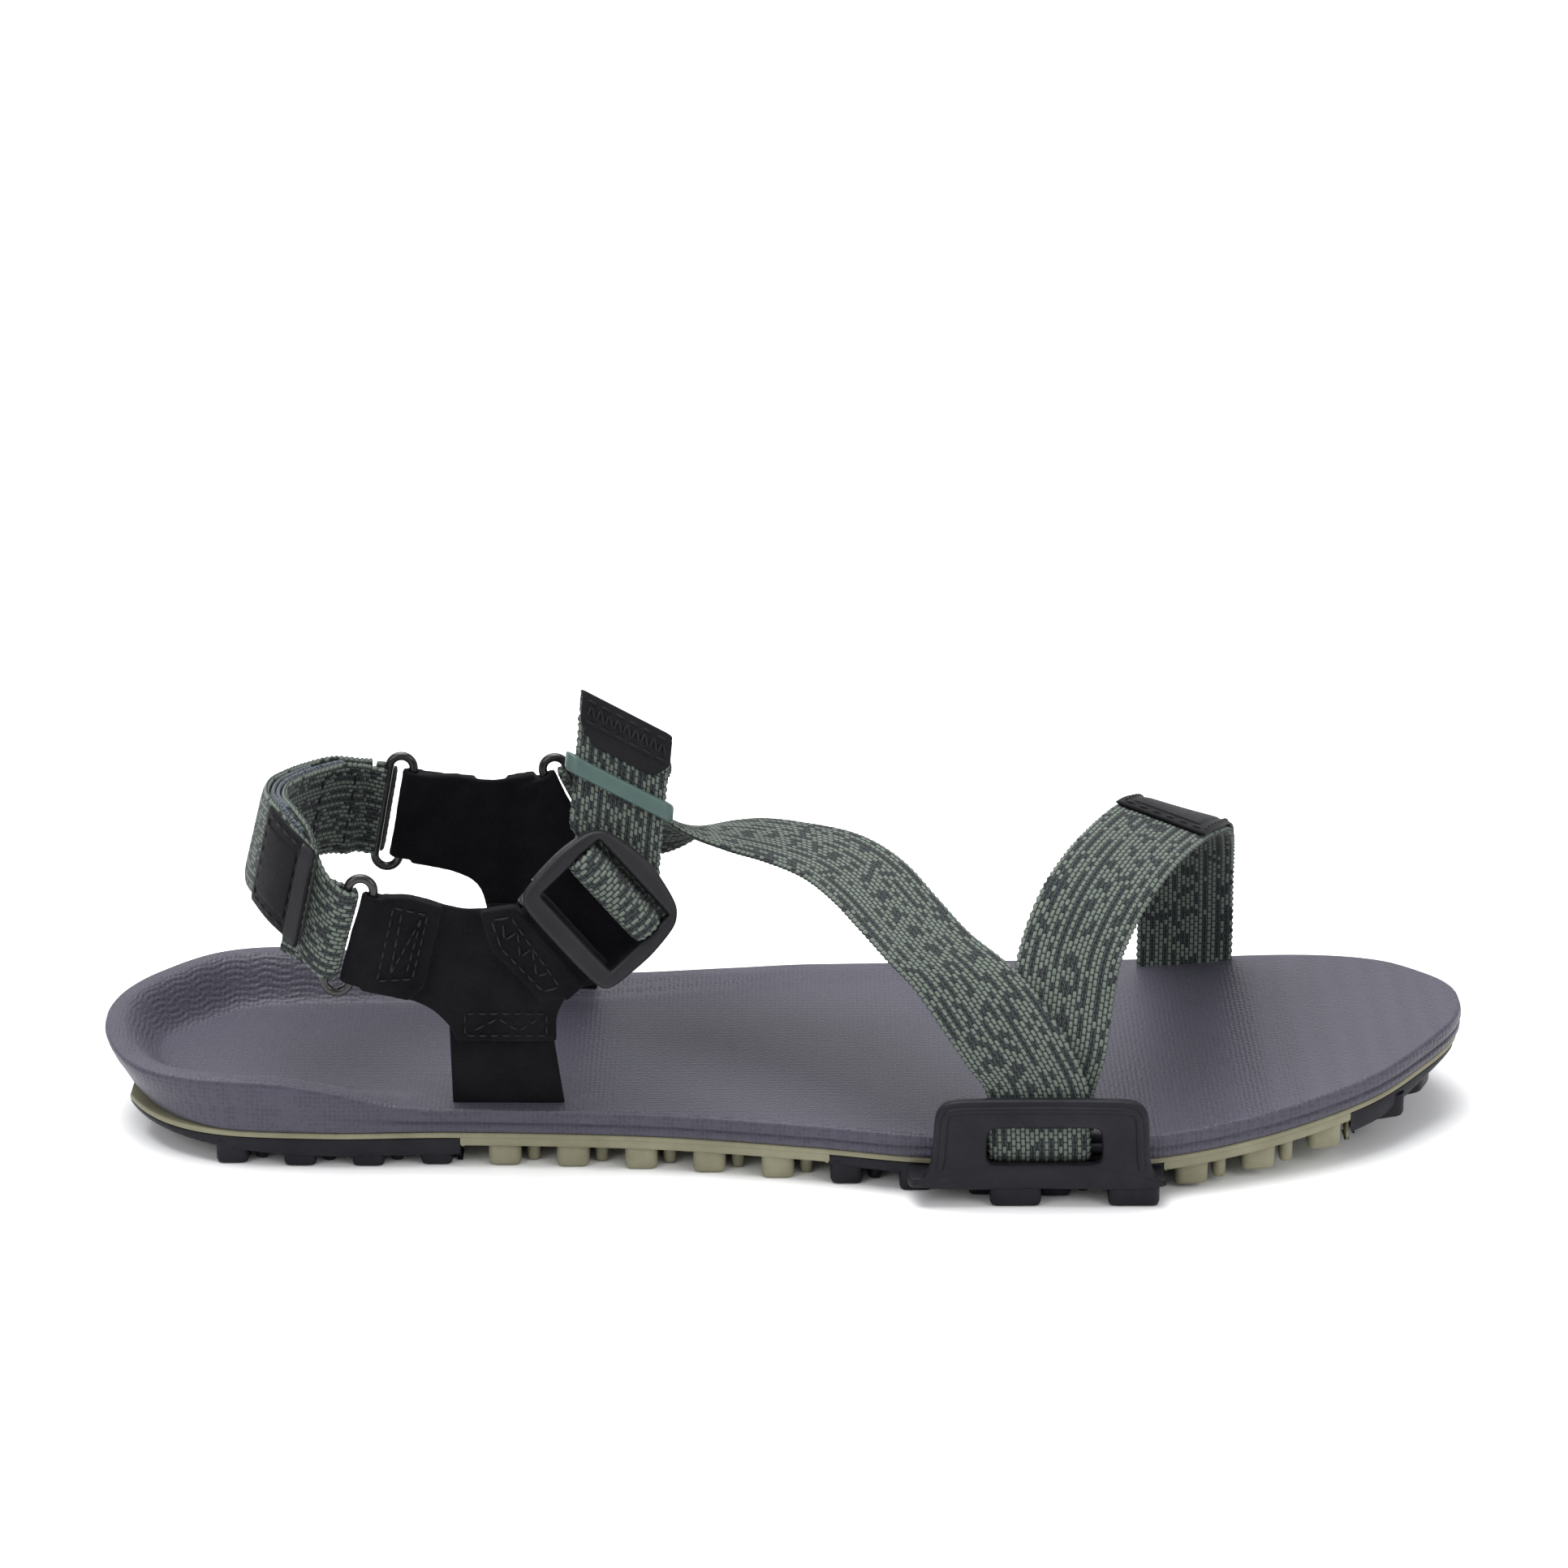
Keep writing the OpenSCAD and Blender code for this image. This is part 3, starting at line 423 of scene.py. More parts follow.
def webbing_finish(name, pale, dark, dark_share):
    """Woven straps: brick-laid stitches, each one pale or dark, in changing patches, with painted shade in
    the gaps between them.
    """
    material, tree, surface = finish(name, pale, 0.82, Sheen_Weight=0.06, Specular_IOR_Level=0.2)
    u, v = uv_in_millimetres(tree)
    column = times(plus(u, STRAP / 2), COLUMNS / STRAP)
    index = calc("FLOOR", column)
    row = plus(calc("DIVIDE", v, STITCH), times(calc("MODULO", index, 2.0), 0.5))
    number = calc("FLOOR", row)
    fu, fv = minus(calc("FRACT", column), 0.5), minus(calc("FRACT", row), 0.5)
    crown = minus(1.0, calc("POWER", calc("ABSOLUTE", times(fv, 2.0)), 4.0))
    hump = times(minus(1.0, times(fu, fu, 4.0)), crown)
    cell = node(tree, "CombineXYZ", {0: index, 1: number}).outputs[0]
    chance = node(tree, "TexWhiteNoise", {"Vector": cell}, noise_dimensions="2D").outputs[0]
    patch = node(tree, "CombineXYZ", {0: times(index, 2.3), 1: times(number, 0.04)}).outputs[0]
    drift = times(minus(noise(patch, 1.0), 0.5), 1.1)
    share = plus(dark_lines(calc("MODULO", index, float(COLUMNS)), number), drift, dark_share)
    in_middle = calc("LESS_THAN", calc("ABSOLUTE", fu), 0.3)
    is_dark = times(calc("LESS_THAN", chance, share), in_middle)
    fibre = node(tree, "CombineXYZ", {0: times(u, 7.0), 1: times(v, 1.1)}).outputs[0]
    strands = noise(fibre, 1.0, 3.0, 0.6)
    light = ramp(strands, 0.3, 0.75)
    pale_stitch = tint(light, shade(pale, 0.66), shade(pale, 1.35))
    dark_stitch = tint(light, shade(dark, 0.6), shade(dark, 1.8))
    stitch = tint(is_dark, pale_stitch, dark_stitch)
    # painted shade: the colour turns dark where each stitch's hump falls away, in the gaps between stitches
    paint(surface, tint(ramp(hump, 0.12, 0.72), shade(dark, 0.7), stitch))
    bump(surface, plus(hump, times(strands, 0.35)), 0.00022, 0.8)
    return material


def suede_finish():
    material, tree, surface = finish("black_suede", (0.003, 0.003, 0.004), 0.95,
                                     Sheen_Weight=0.02, Specular_IOR_Level=0.1)
    where = place_in_metres(tree)
    nap = noise(where, 2600.0, 4.0, 0.7)
    cloud = noise(where, 130.0, 3.0)
    # lighter and darker patches from the fine nap noise and the broad cloud noise
    nap_mottle = ramp(plus(times(nap, 0.5), times(cloud, 0.5)), 0.3, 0.75)
    paint(surface, tint(nap_mottle, shade((0.001, 0.001, 0.0015)), shade((0.009, 0.009, 0.0115))))
    bump(surface, nap, 0.00012, 0.8)
    return material


def foam_finish():
    """Slate foam with a fine dimpled grain, and wavy ribs on the heel cup's wall, with painted shade in the
    dimples' hollows and the ribs' troughs.
    """
    slate = (0.045, 0.043, 0.060)
    rib_pitch = 0.85
    material, tree, surface = finish("footbed_foam", slate, 0.72, Specular_IOR_Level=0.25, Sheen_Weight=0.03)
    where = place_in_metres(tree)
    dimple = ramp(cells(where, 1050.0, 0.35), 0.15, 0.6)
    u, v = uv_in_millimetres(tree)
    line = plus(v, times(calc("SINE", times(u, 0.7)), 0.25), noise(where, 30.0, 1.0))
    rib = calc("SINE", times(line, 2 * math.pi / rib_pitch))
    on_wall = times(ramp(v, 17.0, 9.0), ramp(v, 1.6, 3.0))
    at_heel = ramp(node(tree, "SeparateXYZ", {0: where}).outputs[0], -0.078, -0.093)
    ribs = times(rib, times(on_wall, at_heel))
    speckle = noise(where, 2400.0, 3.0, 0.6)
    cloud = noise(where, 22.0, 3.0)
    # the foam's own uneven tone from the speckle and the cloud, plus painted shade that darkens the dimples'
    # hollows
    speckle_and_dimple_shade = plus(times(speckle, 0.4), times(cloud, 0.35), times(dimple, 0.25))
    colour = tint(ramp(speckle_and_dimple_shade, 0.32, 0.68), shade(slate, 0.82), shade(slate, 1.25))
    # painted shade: the troughs between the ribs on the heel wall are painted darker
    paint(surface, tint(ramp(times(ribs, -1.0), 0.2, 1.3), colour, shade(slate, 0.86)))
    height = plus(times(dimple, 0.55), times(ribs, 0.2), times(speckle, 0.22))
    bump(surface, height, 0.00022, 0.75)
    roughen(surface, ramp(speckle, -0.6, 1.9))
    return material


def rubber_finish(name, low, high, roughness, grain=900.0, depth=0.00008, **settings):
    """Moulded rubber or plastic: slight blotches, fine grain and a worn sheen."""
    material, tree, surface = finish(name, low, roughness, **settings)
    where = place_in_metres(tree)
    blotch = noise(where, 90.0, 4.0, 0.6)
    fine = noise(where, grain, 3.0, 0.6)
    paint(surface, tint(ramp(blotch, 0.3, 0.7), shade(low), shade(high)))
    roughen(surface, plus(times(fine, 0.35), roughness - 0.17))
    bump(surface, fine, depth, 0.7)
    return material


def pile_finish(name, low, high):
    """Loops or hooks: small bright heads on a darker ground, the ground being painted shade between the
    heads.
    """
    material, tree, surface = finish(name, low, 0.95, Sheen_Weight=0.2)
    spots = ramp(cells(place_in_metres(tree), 1400.0), 0.1, 0.7)
    # painted shade: the colour darkens from each head's middle out to the ground between heads
    paint(surface, tint(spots, shade(high), shade(low)))
    bump(surface, spots, 0.0005, 1.0)
    return material


green_webbing = webbing_finish("green_webbing", (0.122, 0.146, 0.124), (0.013, 0.016, 0.019), 0.08)
black_suede = suede_finish()
footbed_foam = foam_finish()
olive_rubber = rubber_finish("olive_rubber", (0.165, 0.155, 0.100), (0.225, 0.215, 0.145), 0.65,
                             700.0, 0.00025, Specular_IOR_Level=0.3)
black_rubber = rubber_finish("black_rubber", (0.006, 0.006, 0.009), (0.012, 0.012, 0.016), 0.5,
                             Specular_IOR_Level=0.16)
black_plastic = rubber_finish("black_plastic", (0.008, 0.008, 0.010), (0.013, 0.013, 0.016), 0.45,
                              1500.0, 0.00006, Specular_IOR_Level=0.22)
black_wire = rubber_finish("black_wire", (0.006, 0.006, 0.007), (0.010, 0.010, 0.011), 0.26,
                           900.0, 0.00002)
sage_rubber = rubber_finish("sage_rubber", (0.040, 0.076, 0.068), (0.052, 0.094, 0.084), 0.42,
                            900.0, 0.00004)
black_patch = rubber_finish("black_patch", (0.005, 0.005, 0.006), (0.009, 0.009, 0.011), 0.6,
                            1600.0, 0.00012, Specular_IOR_Level=0.12)
thread_finish = rubber_finish("black_thread", (0.004, 0.004, 0.005), (0.011, 0.011, 0.013), 0.5,
                              3000.0, 0.0001, Specular_IOR_Level=0.2)
hook_pile = pile_finish("hook_pile", (0.035, 0.048, 0.062), (0.075, 0.10, 0.125))
loop_pile = pile_finish("loop_pile", (0.045, 0.062, 0.080), (0.09, 0.12, 0.15))


# ---- sole --------------------------------------------------------------------------

HALF = 137.0  # half the sole's length
RUBBER_BOTTOM, PAD_TOP, RUBBER_TOP = 3.5, 5.1, 6.4
FOOTBED_BOTTOM, FOOTBED_TOP = 6.5, 11.5
HEEL_BACK = -131.0  # where the rubber ends under the heel
PAD_ENDS = {"heel": (HEEL_BACK, -64), "ball": (9, 74), "toe": (112, 135)}  # from x to x
PAD_LUGS = {"heel": (-112, -67), "ball": (12, 71), "toe": (114, 127)}
OLIVE_ENDS, OLIVE_LUGS = ((-63.9, 8.9), (74.1, 111.9)), ((-58, 3), (80, 109))
EDGE = 0.9  # how round the footbed's rim is
STRAP_WELL = (36.6, 63.6, -46.0)  # the notch for the straps behind the wing: from x, to x, inner wall
# The outline's two sides and the height of the rim above the footbed along them
LATERAL = [(-137, -1), (-129, -23.5), (-115, -32), (-90, -35), (-65, -34.3), (-26, -36.5), (5, -42),
           (26, -47), (50, -50.3), (73, -48.3), (90, -43), (105, -36), (118, -27.5), (129, -15), (137, 3)]
MEDIAL = [(-137, 1), (-129, 19.8), (-117, 31.5), (-100, 35.5), (-70, 35.5), (-39, 35.8), (-11, 41.5),
          (6, 46), (40, 50), (71, 50), (95, 47.5), (111, 42.5), (124, 33.5), (132, 22), (137, 6)]
LATERAL_RIM = [(-137, 5.5), (-130, 4.8), (-117, 5.6), (-101, 5.6), (-89, 3.8), (-77, 0.8), (-67, 0), (137, 0)]
MEDIAL_RIM = [(-137, 5.8), (-134, 7), (-128, 8.2), (-116, 8.9), (-100, 8.5), (-80, 6.5), (-55, 3.4),
              (-30, 2.3), (-10, 1.6), (10, 0.6), (30, 0), (137, 0)]


def turn_of(x):
    """x as a share of a half turn, which spaces the outline's points evenly round its ends."""
    return np.arccos(np.clip(-np.asarray(x, float) / HALF, -1, 1)) / np.pi


def lateral_edge(x):
    return smooth_list([(turn_of(a), b) for a, b in LATERAL], turn_of(x))


def medial_edge(x):
    return smooth_list([(turn_of(a), b) for a, b in MEDIAL], turn_of(x))


def lift_of(x):
    """How far the toe and the heel spring up from the ground."""
    x = np.asarray(x, float)
    return np.where(x > 55, (x - 55) ** 2 / 746, np.where(x < -115, (x + 115) ** 2 / 320, 0))


def rim_height(x, y):
    low, high = lateral_edge(x), medial_edge(x)
    u = ease((y - low) / np.maximum(high - low, 0.1))
    return (1 - u) * smooth_list(LATERAL_RIM, x) + u * smooth_list(MEDIAL_RIM, x)


def outline(count):
    """The sole's outline seen from above: up the outer side, round the toe and back."""
    x = -HALF * np.cos(np.pi * np.linspace(0, 1, count))
    in_well = (x > STRAP_WELL[0]) & (x < STRAP_WELL[1])
    outer = np.where(in_well, STRAP_WELL[2], lateral_edge(x))
    return np.vstack([np.column_stack([x, outer]), np.column_stack([x, medial_edge(x)])[::-1]])


def spine(line):
    """For each outline point, the point of the middle line that the rows run in to."""
    x = np.clip(line[:, 0], -103, 98)
    return np.column_stack([x, (lateral_edge(x) + medial_edge(x)) / 2])


def inward(line, distance):
    """The outline moved in towards the middle line, by one distance or one for each point."""
    to = spine(line) - line
    return line + to / np.linalg.norm(to, axis=1)[:, None] * np.asarray(distance, float)[..., None]


def heel_tuck(x):
    """How far the wall leans in at its foot, round the heel."""
    return 5.4 * ease((-106 - x) / 31)


def top_height(points, inside):
    """Height of the footbed's top at points that lie this far inside the outline."""
    x, y = points.T
    share = 1 - ease((inside - 3.2) / 9)
    return FOOTBED_TOP + lift_of(x) + rim_height(x, y) * share


def footbed_rows():
    """Rows from the middle line out over the rim and down the wall to the underside."""
    line = outline(420)
    reach = np.linalg.norm(spine(line) - line, axis=1)
    edge = FOOTBED_TOP + lift_of(line[:, 0]) + rim_height(*line.T)
    run = np.concatenate([[0], np.cumsum(np.linalg.norm(np.diff(line, axis=0), axis=1))])
    run = np.minimum(run, run[-1] - run)
    rows, uvs = [], []

    def add(points, z, v):
        rows.append(np.column_stack([points, z]))
        uvs.append(np.column_stack([run, np.broadcast_to(v, run.shape)]))

    for s in 0.985 * np.linspace(1, 0, 64)[:-1] ** 1.7:
        inside = reach * s
        points = line + (spine(line) - line) * s
        corner = np.clip(1 - inside / EDGE, 0, 1)
        add(points, top_height(points, inside) - EDGE * (1 - np.sqrt(1 - corner ** 2)), inside)
    bottom = FOOTBED_BOTTOM + lift_of(np.maximum(line[:, 0], HEEL_BACK))
    high = edge - EDGE
    wall = [(0.0, 0.0), (0.12, -0.10), (0.3, -0.12), (0.42, 0.05), (0.47, 0.42), (0.52, 0.45), (0.57, 0.12),
            (0.72, 0.02), (0.88, 0.08), (0.96, 0.4), (1.0, 0.9)]  # share of the way down, depth
    cup = ease((-70 - line[:, 0]) / 25)
    for s, dent in wall:
        depth = dent * np.where(0.3 < s < 0.6, 1 - 0.75 * cup, 1) + heel_tuck(line[:, 0]) * s ** 1.15
        add(inward(line, depth), high + (bottom - high) * s, 30 + s)
    for s in (0.5, 1.0):
        points = inward(line, heel_tuck(line[:, 0]) + 0.9)
        points = points + (spine(line) - points) * s
        add(points, FOOTBED_BOTTOM + lift_of(np.maximum(points[:, 0], HEEL_BACK)), 40)
    return rows, uvs


def footbed():
    """The rows joined to one closed shell, with the slit along the middle line closed by quads."""
    rows, uvs = footbed_rows()
    points, uv = np.vstack(rows), np.vstack(uvs)
    faces = tube_faces(len(rows), len(rows[0]), capped=False)
    last = len(rows[0]) - 1
    faces += [(j, last - j, last - j - 1, j + 1) for j in range(last // 2)]
    made = build("footbed", points, faces, footbed_foam, uv)
    place(made, "sandal", "footbed_foam", "footbed")


def clipped(x0, x1, inset, count=300):
    """The outline moved in by inset and cut off at x0 and x1, with even corners there."""
    line = outline(count)
    cutting = inset + np.minimum(heel_tuck(line[:, 0]) * 0.45, 2.4)
    line = inward(line, cutting)
    half = len(line) // 2
    sides = []
    for part in (line[:half], line[half:][::-1]):
        keep = part[(part[:, 0] > x0) & (part[:, 0] < x1)]
        ends = [[x, np.interp(x, part[:, 0], part[:, 1])] for x in (x0, x1)]
        sides.append(np.vstack([ends[:1], keep, ends[1:]]))
    return np.vstack([sides[0], sides[1][::-1]])


def shrunk(polygon, distance):
    """A closed outline, drawn anticlockwise, moved in by a small distance."""
    before, after = np.roll(polygon, 1, axis=0), np.roll(polygon, -1, axis=0)
    along = after - before
    normal = np.column_stack([-along[:, 1], along[:, 0]])
    return polygon + normal / np.maximum(np.linalg.norm(normal, axis=1), 1e-6)[:, None] * distance


def slab_parts(polygon, low, high, corner, lifted=True, foot=None, under=None):
    """An upright block with rounded edges. foot is the corner at the bottom, which under(x) raises."""
    foot = corner if foot is None else foot
    levels = [(low, foot), (low + 0.3 * foot, 0.3 * foot), (low + foot, 0),
              (high - corner, 0), (high - 0.3 * corner, 0.3 * corner), (high, corner)]
    rings = []
    for i, (z, inset) in enumerate(levels):
        flat = shrunk(polygon, inset)
        rise = lift_of(flat[:, 0]) if lifted else 0 * flat[:, 0]
        if under and i < 3:
            rise = rise + under(flat[:, 0])
        rings.append(np.column_stack([flat, z + rise]))
    return np.vstack(rings), tube_faces(len(rings), len(polygon))


def turned_right(polygon):
    """The same outline, anticlockwise."""
    p = np.array(polygon, float)
    x, y = p.T
    return p if (x * np.roll(y, -1) - y * np.roll(x, -1)).sum() > 0 else p[::-1]


def softened(polygon, corner):
    """An outline with its corners cut to short arcs."""
    p, out = turned_right(polygon), []
    for i, here in enumerate(p):
        back, ahead = p[i - 1] - here, p[(i + 1) % len(p)] - here
        a = here + back / np.linalg.norm(back) * min(corner, 0.45 * np.linalg.norm(back))
        b = here + ahead / np.linalg.norm(ahead) * min(corner, 0.45 * np.linalg.norm(ahead))
        out += [a * (1 - t) ** 2 + 2 * here * t * (1 - t) + b * t * t for t in (0, 0.33, 0.67, 1)]
    return np.array(out)


def chevron(x, y, length, width):
    lean = width * 0.22
    return [(x - length / 2, y - width / 2), (x + length / 2, y - width / 2), (x + length / 2 + lean, y),
            (x + length / 2, y + width / 2), (x - length / 2, y + width / 2), (x - length / 2 + lean, y)]


def block(x, y, length, width):
    return [(x - length / 2, y - width / 2), (x + length / 2, y - width / 2),
            (x + length / 2, y + width / 2), (x - length / 2, y + width / 2)]


LUG_STEP = 13.5


def lug_outlines(x0, x1):
    """Outlines of the tread lugs whose rows lie from x0 to x1."""
    found = []
    for i in range(-9, 10):
        x = i * LUG_STEP
        if not x0 <= x <= x1:
            continue
        low, high = float(lateral_edge(x)) + 6, float(medial_edge(x)) - 6
        found += [block(x - 1.2, low, 6.4, 9), block(x + 4.4, low + 1.2, 2.6, 6),
                  block(x - 1.2, high, 6.4, 9), block(x + 4.4, high - 1.2, 2.6, 6)]
        if high - low > 44:
            found += [chevron(x + LUG_STEP / 2 - 3.5, y, 6, 12)
                      for y in (low + (high - low) / 4, high - (high - low) / 4)]
        if high - low > 26:
            found.append(chevron(x - 1, 0 if abs(x) < 1 else (low + high) / 2, 8, 13))
    return found


def strip_cap(count):
    """Quads across a closed outline whose points 3 - k and 4 + k face each other."""
    return [((3 - k) % count, 4 + k, 5 + k, (2 - k) % count) for k in range(count // 2 - 1)]


def lug_parts(rows, ends, step=1):
    """The lugs of a pad, cut off at its ends. A step of 2 leaves out the small ones."""
    parts = []
    for i, lug in enumerate(lug_outlines(*rows)[::step]):
        lug = softened([(min(max(x, ends[0]), ends[1]), y) for x, y in lug], 1.6)
        foot = (0.9, 0.7, 0.6)[i % 3]
        points, faces = slab_parts(lug, -GROUND, RUBBER_BOTTOM + 0.4, 0.1, foot=foot)
        parts.append((points, faces[:-2] + strip_cap(len(lug)) + faces[-1:]))
    return parts


def heel_pad_rise(x):
    """How far the heel pad's underside bends up towards the back."""
    return 2.6 * ease((-92 - x) / 40)


def toe_pad_rise(x):
    """How far the toe pad's underside bends up towards the tip."""
    return 3.0 * ease((x - 116) / 18)


def rubber(name, parts, material, slot):
    """One rubber piece of the sole from its blocks."""
    place(build(name, *joined(parts), material, crisp=50), "sandal", slot, name)


def outsole():
    olive = [slab_parts(clipped(HEEL_BACK, 135.8, 0.6), PAD_TOP + 0.1, RUBBER_TOP, 0.3)]
    for ends in OLIVE_ENDS:
        olive.append(slab_parts(clipped(*ends, 0.6), RUBBER_BOTTOM, PAD_TOP + 0.3, 0.1, foot=0.6))
    for rows, ends in zip(OLIVE_LUGS, OLIVE_ENDS):
        olive += lug_parts(rows, ends)
    rubber("outsole_olive", olive, olive_rubber, "olive_rubber")
    thick_ends = {"heel": (1.2, heel_pad_rise), "toe": (0.6, toe_pad_rise)}
    for name, ends in PAD_ENDS.items():
        low, under = thick_ends.get(name, (RUBBER_BOTTOM - 0.9, None))
        parts = [slab_parts(clipped(*ends, 0.9), low, PAD_TOP, 0.25, foot=0.9, under=under)]
        parts += lug_parts(PAD_LUGS[name], ends, 2 if name == "toe" else 1)
        if name == "ball":
            parts += wing_parts()
        rubber(f"outsole_{name}_pad", parts, black_rubber, "black_rubber")


# ---- frames and bands --------------------------------------------------------------

def band_section(low, high, corner, steps=5):
    """The rounded section of a frame: (on its inner side, inset, height) round it."""
    turns = np.linspace(0, math.pi / 2, steps)
    section = [(0, a, high, 1) for a in turns] + [(1, a, high, 1) for a in turns[::-1]]
    section += [(1, a, low, -1) for a in turns] + [(0, a, low, -1) for a in turns[::-1]]
    return [(side, corner * (1 - math.cos(a)), level - sign * corner * (1 - math.sin(a)))
            for side, a, level, sign in section]


def frame_rings(outer, inner, low, high, corner, to_world):
    """Loops along a frame between two lines with as many points each, with rounded edges."""
    outer, inner = np.array(outer, float), np.array(inner, float)
    wide = np.linalg.norm(inner - outer, axis=1)
    loops = []
    for side, depth, height in band_section(low, high, corner):
        inset = np.minimum(depth, wide * 0.48) / wide
        share = 1 - inset if side else inset
        flat = outer + (inner - outer) * share[:, None]
        loops.append([to_world(x, y, height) for x, y in flat])
    return np.array(loops)


def frame_parts(outer, inner, low, high, corner, to_world):
    """A whole frame between two closed outlines."""
    loops = frame_rings(outer, inner, low, high, corner, to_world)
    return loops.reshape(-1, 3), tube_faces(len(loops), loops.shape[1], closed=True)


def band_parts(outer, inner, low, high, corner, to_world):
    """A part of a frame with two ends, between two open lines."""
    loops = frame_rings(outer, inner, low, high, corner, to_world).swapaxes(0, 1)
    return loops.reshape(-1, 3), tube_faces(len(loops), loops.shape[1])


def rounded(width, height, corner, steps=8):
    """A rectangle with round corners."""
    out = []
    for quarter, (sx, sy) in enumerate(((1, 1), (-1, 1), (-1, -1), (1, -1))):
        middle = np.array([sx * (width / 2 - corner), sy * (height / 2 - corner)])
        for a in np.radians(np.linspace(90 * quarter, 90 * quarter + 90, steps)):
            out.append(middle + corner * np.array([math.cos(a), math.sin(a)]))
    return np.array(out)


def rod_parts(path, radius, closed=False, sides=20, first=(0, 1, 0)):
    """A round rod along a path."""
    path, first = np.array(path, float), np.array(first, float)
    if closed:
        along = np.roll(path, -1, axis=0) - np.roll(path, 1, axis=0)
    else:
        along = np.gradient(path, axis=0)
    along /= np.linalg.norm(along, axis=1)[:, None]
    up = first - along * (along @ first)[:, None]
    up /= np.linalg.norm(up, axis=1)[:, None]
    side = np.cross(along, up)
    a = (np.arange(sides) * 2 * math.pi / sides)[None, :, None]
    rings = path[:, None] + radius * (np.cos(a) * up[:, None] + np.sin(a) * side[:, None])
    return rings.reshape(-1, 3), tube_faces(len(path), sides, closed=closed)


def matched(loop, steps):
    """A closed loop with the same number of steps between each pair of its points, smoothed."""
    p = np.array(loop, float)
    ahead = np.roll(p, -1, axis=0)
    t = (np.arange(steps) / steps)[None, :, None]
    dense = (p[:, None] + (ahead - p)[:, None] * t).reshape(-1, 2)
    for _ in range(steps):
        dense = 0.25 * np.roll(dense, 1, axis=0) + 0.5 * dense + 0.25 * np.roll(dense, -1, axis=0)
    return dense


def open_run(points):
    """The points of a loop in order from its biggest gap."""
    gaps = np.linalg.norm(np.roll(points, -1, axis=0) - points, axis=1)
    return np.roll(points, -(int(gaps.argmax()) + 1), axis=0)


# The side wing: its outer outline and its window in x and z, as pairs of matching points
WING_OUTER = [(50, 3), (34, 2.6), (24, 3.4), (26.8, 4.8), (28.6, 8), (29, 16), (29.3, 18.6), (30.6, 20.6),
              (33.5, 21.4), (50, 21.5), (66, 21.4), (69, 20.6), (70.3, 18.6), (70.6, 16), (70.9, 8),
              (72.4, 4.8), (75.4, 3.4), (66, 2.6)]
WING_INNER = [(50, 8), (44, 8), (40.6, 8), (39.7, 8.4), (39.2, 9.4), (39.2, 11.8), (39.4, 14.4), (40, 15.3),
              (41.2, 15.6), (50, 15.6), (59.6, 15.6), (60.8, 15.3), (61.4, 14.4), (61.6, 11.8), (61.6, 9.4),
              (61.1, 8.4), (60.2, 8), (56, 8)]
WING_INSIDE, WING_OUTSIDE = -51.8, -54.3
WING_BAR = np.array([49.6, -49, 9.4])  # the bar behind the window that the strap passes round
WING_CHEEKS = (36.7, 62.2)  # where the two cheeks start that hold the bar
WING_LUGS = (45, 68)


def wing_parts():
    """The side wing with its window, the bar behind it, its base and its two lugs."""
    outer, inner = matched(WING_OUTER, 6), matched(WING_INNER, 6)
    parts = [frame_parts(outer, inner, -WING_INSIDE, -WING_OUTSIDE, 0.9, lambda x, z, out: (x, -out, z))]
    lip = shrunk(turned_right(outer), 1.9)
    above_foot = open_run(lip[lip[:, 1] > 7])
    parts.append(rod_parts([(x, WING_OUTSIDE + 0.25, z) for x, z in above_foot], 0.75))
    front = WING_OUTSIDE + 0.2
    base = softened([(24, front), (73.8, front), (73.8, -46), (24, -46)], 2)
    parts.append(slab_parts(base, RUBBER_BOTTOM - 0.6, PAD_TOP, 0.3, lifted=False, foot=0.8))
    for x in WING_LUGS:
        lug = softened(block(x, WING_OUTSIDE + 4.1, 10, 7), 1.5)
        parts.append(slab_parts(lug, -GROUND, RUBBER_BOTTOM + 0.2, 0.1, lifted=False, foot=0.9))
    for x in WING_CHEEKS:
        cheek = softened([(x, -52), (x + 1.2, -52), (x + 1.2, -46.7), (x, -46.7)], 0.4)
        parts.append(slab_parts(cheek, 3, 17, 0.4, lifted=False))
    parts.append(rod_parts([(x, *WING_BAR[1:]) for x in np.linspace(37.1, 63.1, 12)], 1.0))
    return parts


# ---- places of the hardware --------------------------------------------------------

RING_GAP, RING_STRAIGHT, WIRE = 2.5, 19.2, 0.9
WRAP_ON_WIRE = 1.02 + WEBBING / 2 + 0.02  # from a wire's middle to the middle of the webbing round it
FOLD = 18.8  # width of the webbing where it passes through a ring
RINGS = {  # the direction along each ring's long sides, the direction to its yoke and its centre
    "lateral_heel_ring": (unit([0.27, 0, 0.963]), unit([0.963, 0, -0.27]), np.array([-84.8, -32, 47.3])),
    "medial_heel_ring": (unit([0.183, 0, 0.983]), unit([0.983, 0, -0.183]), np.array([-80.1, 32, 50.8])),
    "medial_instep_ring": (unit([0.45, 0, -0.893]), unit([-0.893, 0, -0.45]), np.array([-42.6, 32, 51.4])),
}
B_ALONG, B_UP = unit([0.652, 0, -0.758]), unit([0.715, 0.332, 0.6155])
B_OUT = np.cross(B_ALONG, B_UP)
B_CENTRE = np.array([-35.2, -29.6, 52.8])
MIDDLE_BAR, TAB_BAR, TAB_DEPTH = 3.0, -9.8, -3.4  # heights of the bars, and how far back the tab's bar is
BAR = 1.6  # radius of the buckle's bars
IN_BUCKLE = 20.6  # width of the webbing over the middle bar


def on_buckle(along, up, out):
    return B_CENTRE + along * B_ALONG + up * B_UP + out * B_OUT


